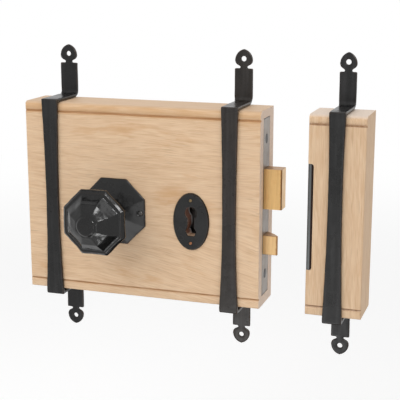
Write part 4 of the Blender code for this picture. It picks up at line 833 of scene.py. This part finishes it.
def apply_modifiers(piece):
    """Turn a piece's modifiers into its mesh."""
    graph = bpy.context.evaluated_depsgraph_get()
    mesh = bpy.data.meshes.new_from_object(piece.evaluated_get(graph))
    piece.modifiers.clear()
    piece.data = mesh
    return mesh


def settle(piece, node_name, finishes):
    """Apply a piece's modifiers, give it its node's finish and body, and let it stand for the node."""
    mesh = apply_modifiers(piece)
    mesh.materials.clear()
    mesh.materials.append(finishes[NODE_FINISH[node_name]])
    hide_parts(node_name)
    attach(piece, frame["nodes"][node_name]["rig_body"])


def hammer_texture(name, scale):
    texture = bpy.data.textures.new(name, "CLOUDS")
    texture.noise_scale = scale
    texture.noise_depth = 1
    return texture


def fade_dents(piece, full, none):
    """Weigh a piece's points for its dents: all in front of one place along Y, none behind another."""
    weights = piece.vertex_groups.new(name=DENTED)
    for vertex in piece.data.vertices:
        share = (none - vertex.co.y) / (none - full)
        weights.add([vertex.index], min(1.0, max(0.0, share)), "REPLACE")


def forge(name, finishes):
    """A node again in a fine mesh with softened edges and a hammered surface."""
    node_name, voxel, smooth, dents = FORGED[name]
    piece = mesh_copy(name, node_name)
    remesh = piece.modifiers.new("fine mesh", "REMESH")
    remesh.mode = "VOXEL"
    remesh.voxel_size = voxel
    soften = piece.modifiers.new("softened edges", "SMOOTH")
    soften.factor = SMOOTH_FACTOR
    soften.iterations = smooth
    fade = DENTS_FADE.get(node_name)
    if fade:
        apply_modifiers(piece)
        fade_dents(piece, *fade)
    for index, (size, height) in enumerate(dents):
        dent = piece.modifiers.new(f"hammering {index}", "DISPLACE")
        dent.texture = hammer_texture(f"{name}_dents_{index}", size)
        dent.texture_coords = "LOCAL"
        dent.strength = height
        dent.mid_level = 0.5
        if fade:
            dent.vertex_group = DENTED
    settle(piece, node_name, finishes)
    piece.data.shade_smooth()


def smooth_piece(name, node_name, finishes):
    """A node again with its round stretches shaded smooth."""
    piece = mesh_copy(name, node_name)
    piece.data.shade_smooth()
    piece.data.set_sharp_from_angle(angle=math.radians(SMOOTH_ANGLE))
    weighted = piece.modifiers.new("flat faces stay flat", "WEIGHTED_NORMAL")
    weighted.keep_sharp = True
    settle(piece, node_name, finishes)
    return piece


def shorten_spring(piece):
    """The latch's spring gets a mesh of its own."""
    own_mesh(piece)


def make_pieces(finishes):
    """The finer pieces that stand for the model's nodes."""
    for name in FORGED:
        forge(name, finishes)
    forged_nodes = [node_name for node_name, *_ in FORGED.values()]
    for node_name in NODE_FINISH:
        if node_name not in forged_nodes:
            piece = smooth_piece(node_name + "_finished", node_name, finishes)
            if node_name == "latch_spring":
                shorten_spring(piece)


make_camera()
make_world()
make_floor()
make_lamps()
bpy.context.scene.view_settings.view_transform = "Standard"
finishes = make_finishes()
dress_nodes(finishes)
make_pieces(finishes)
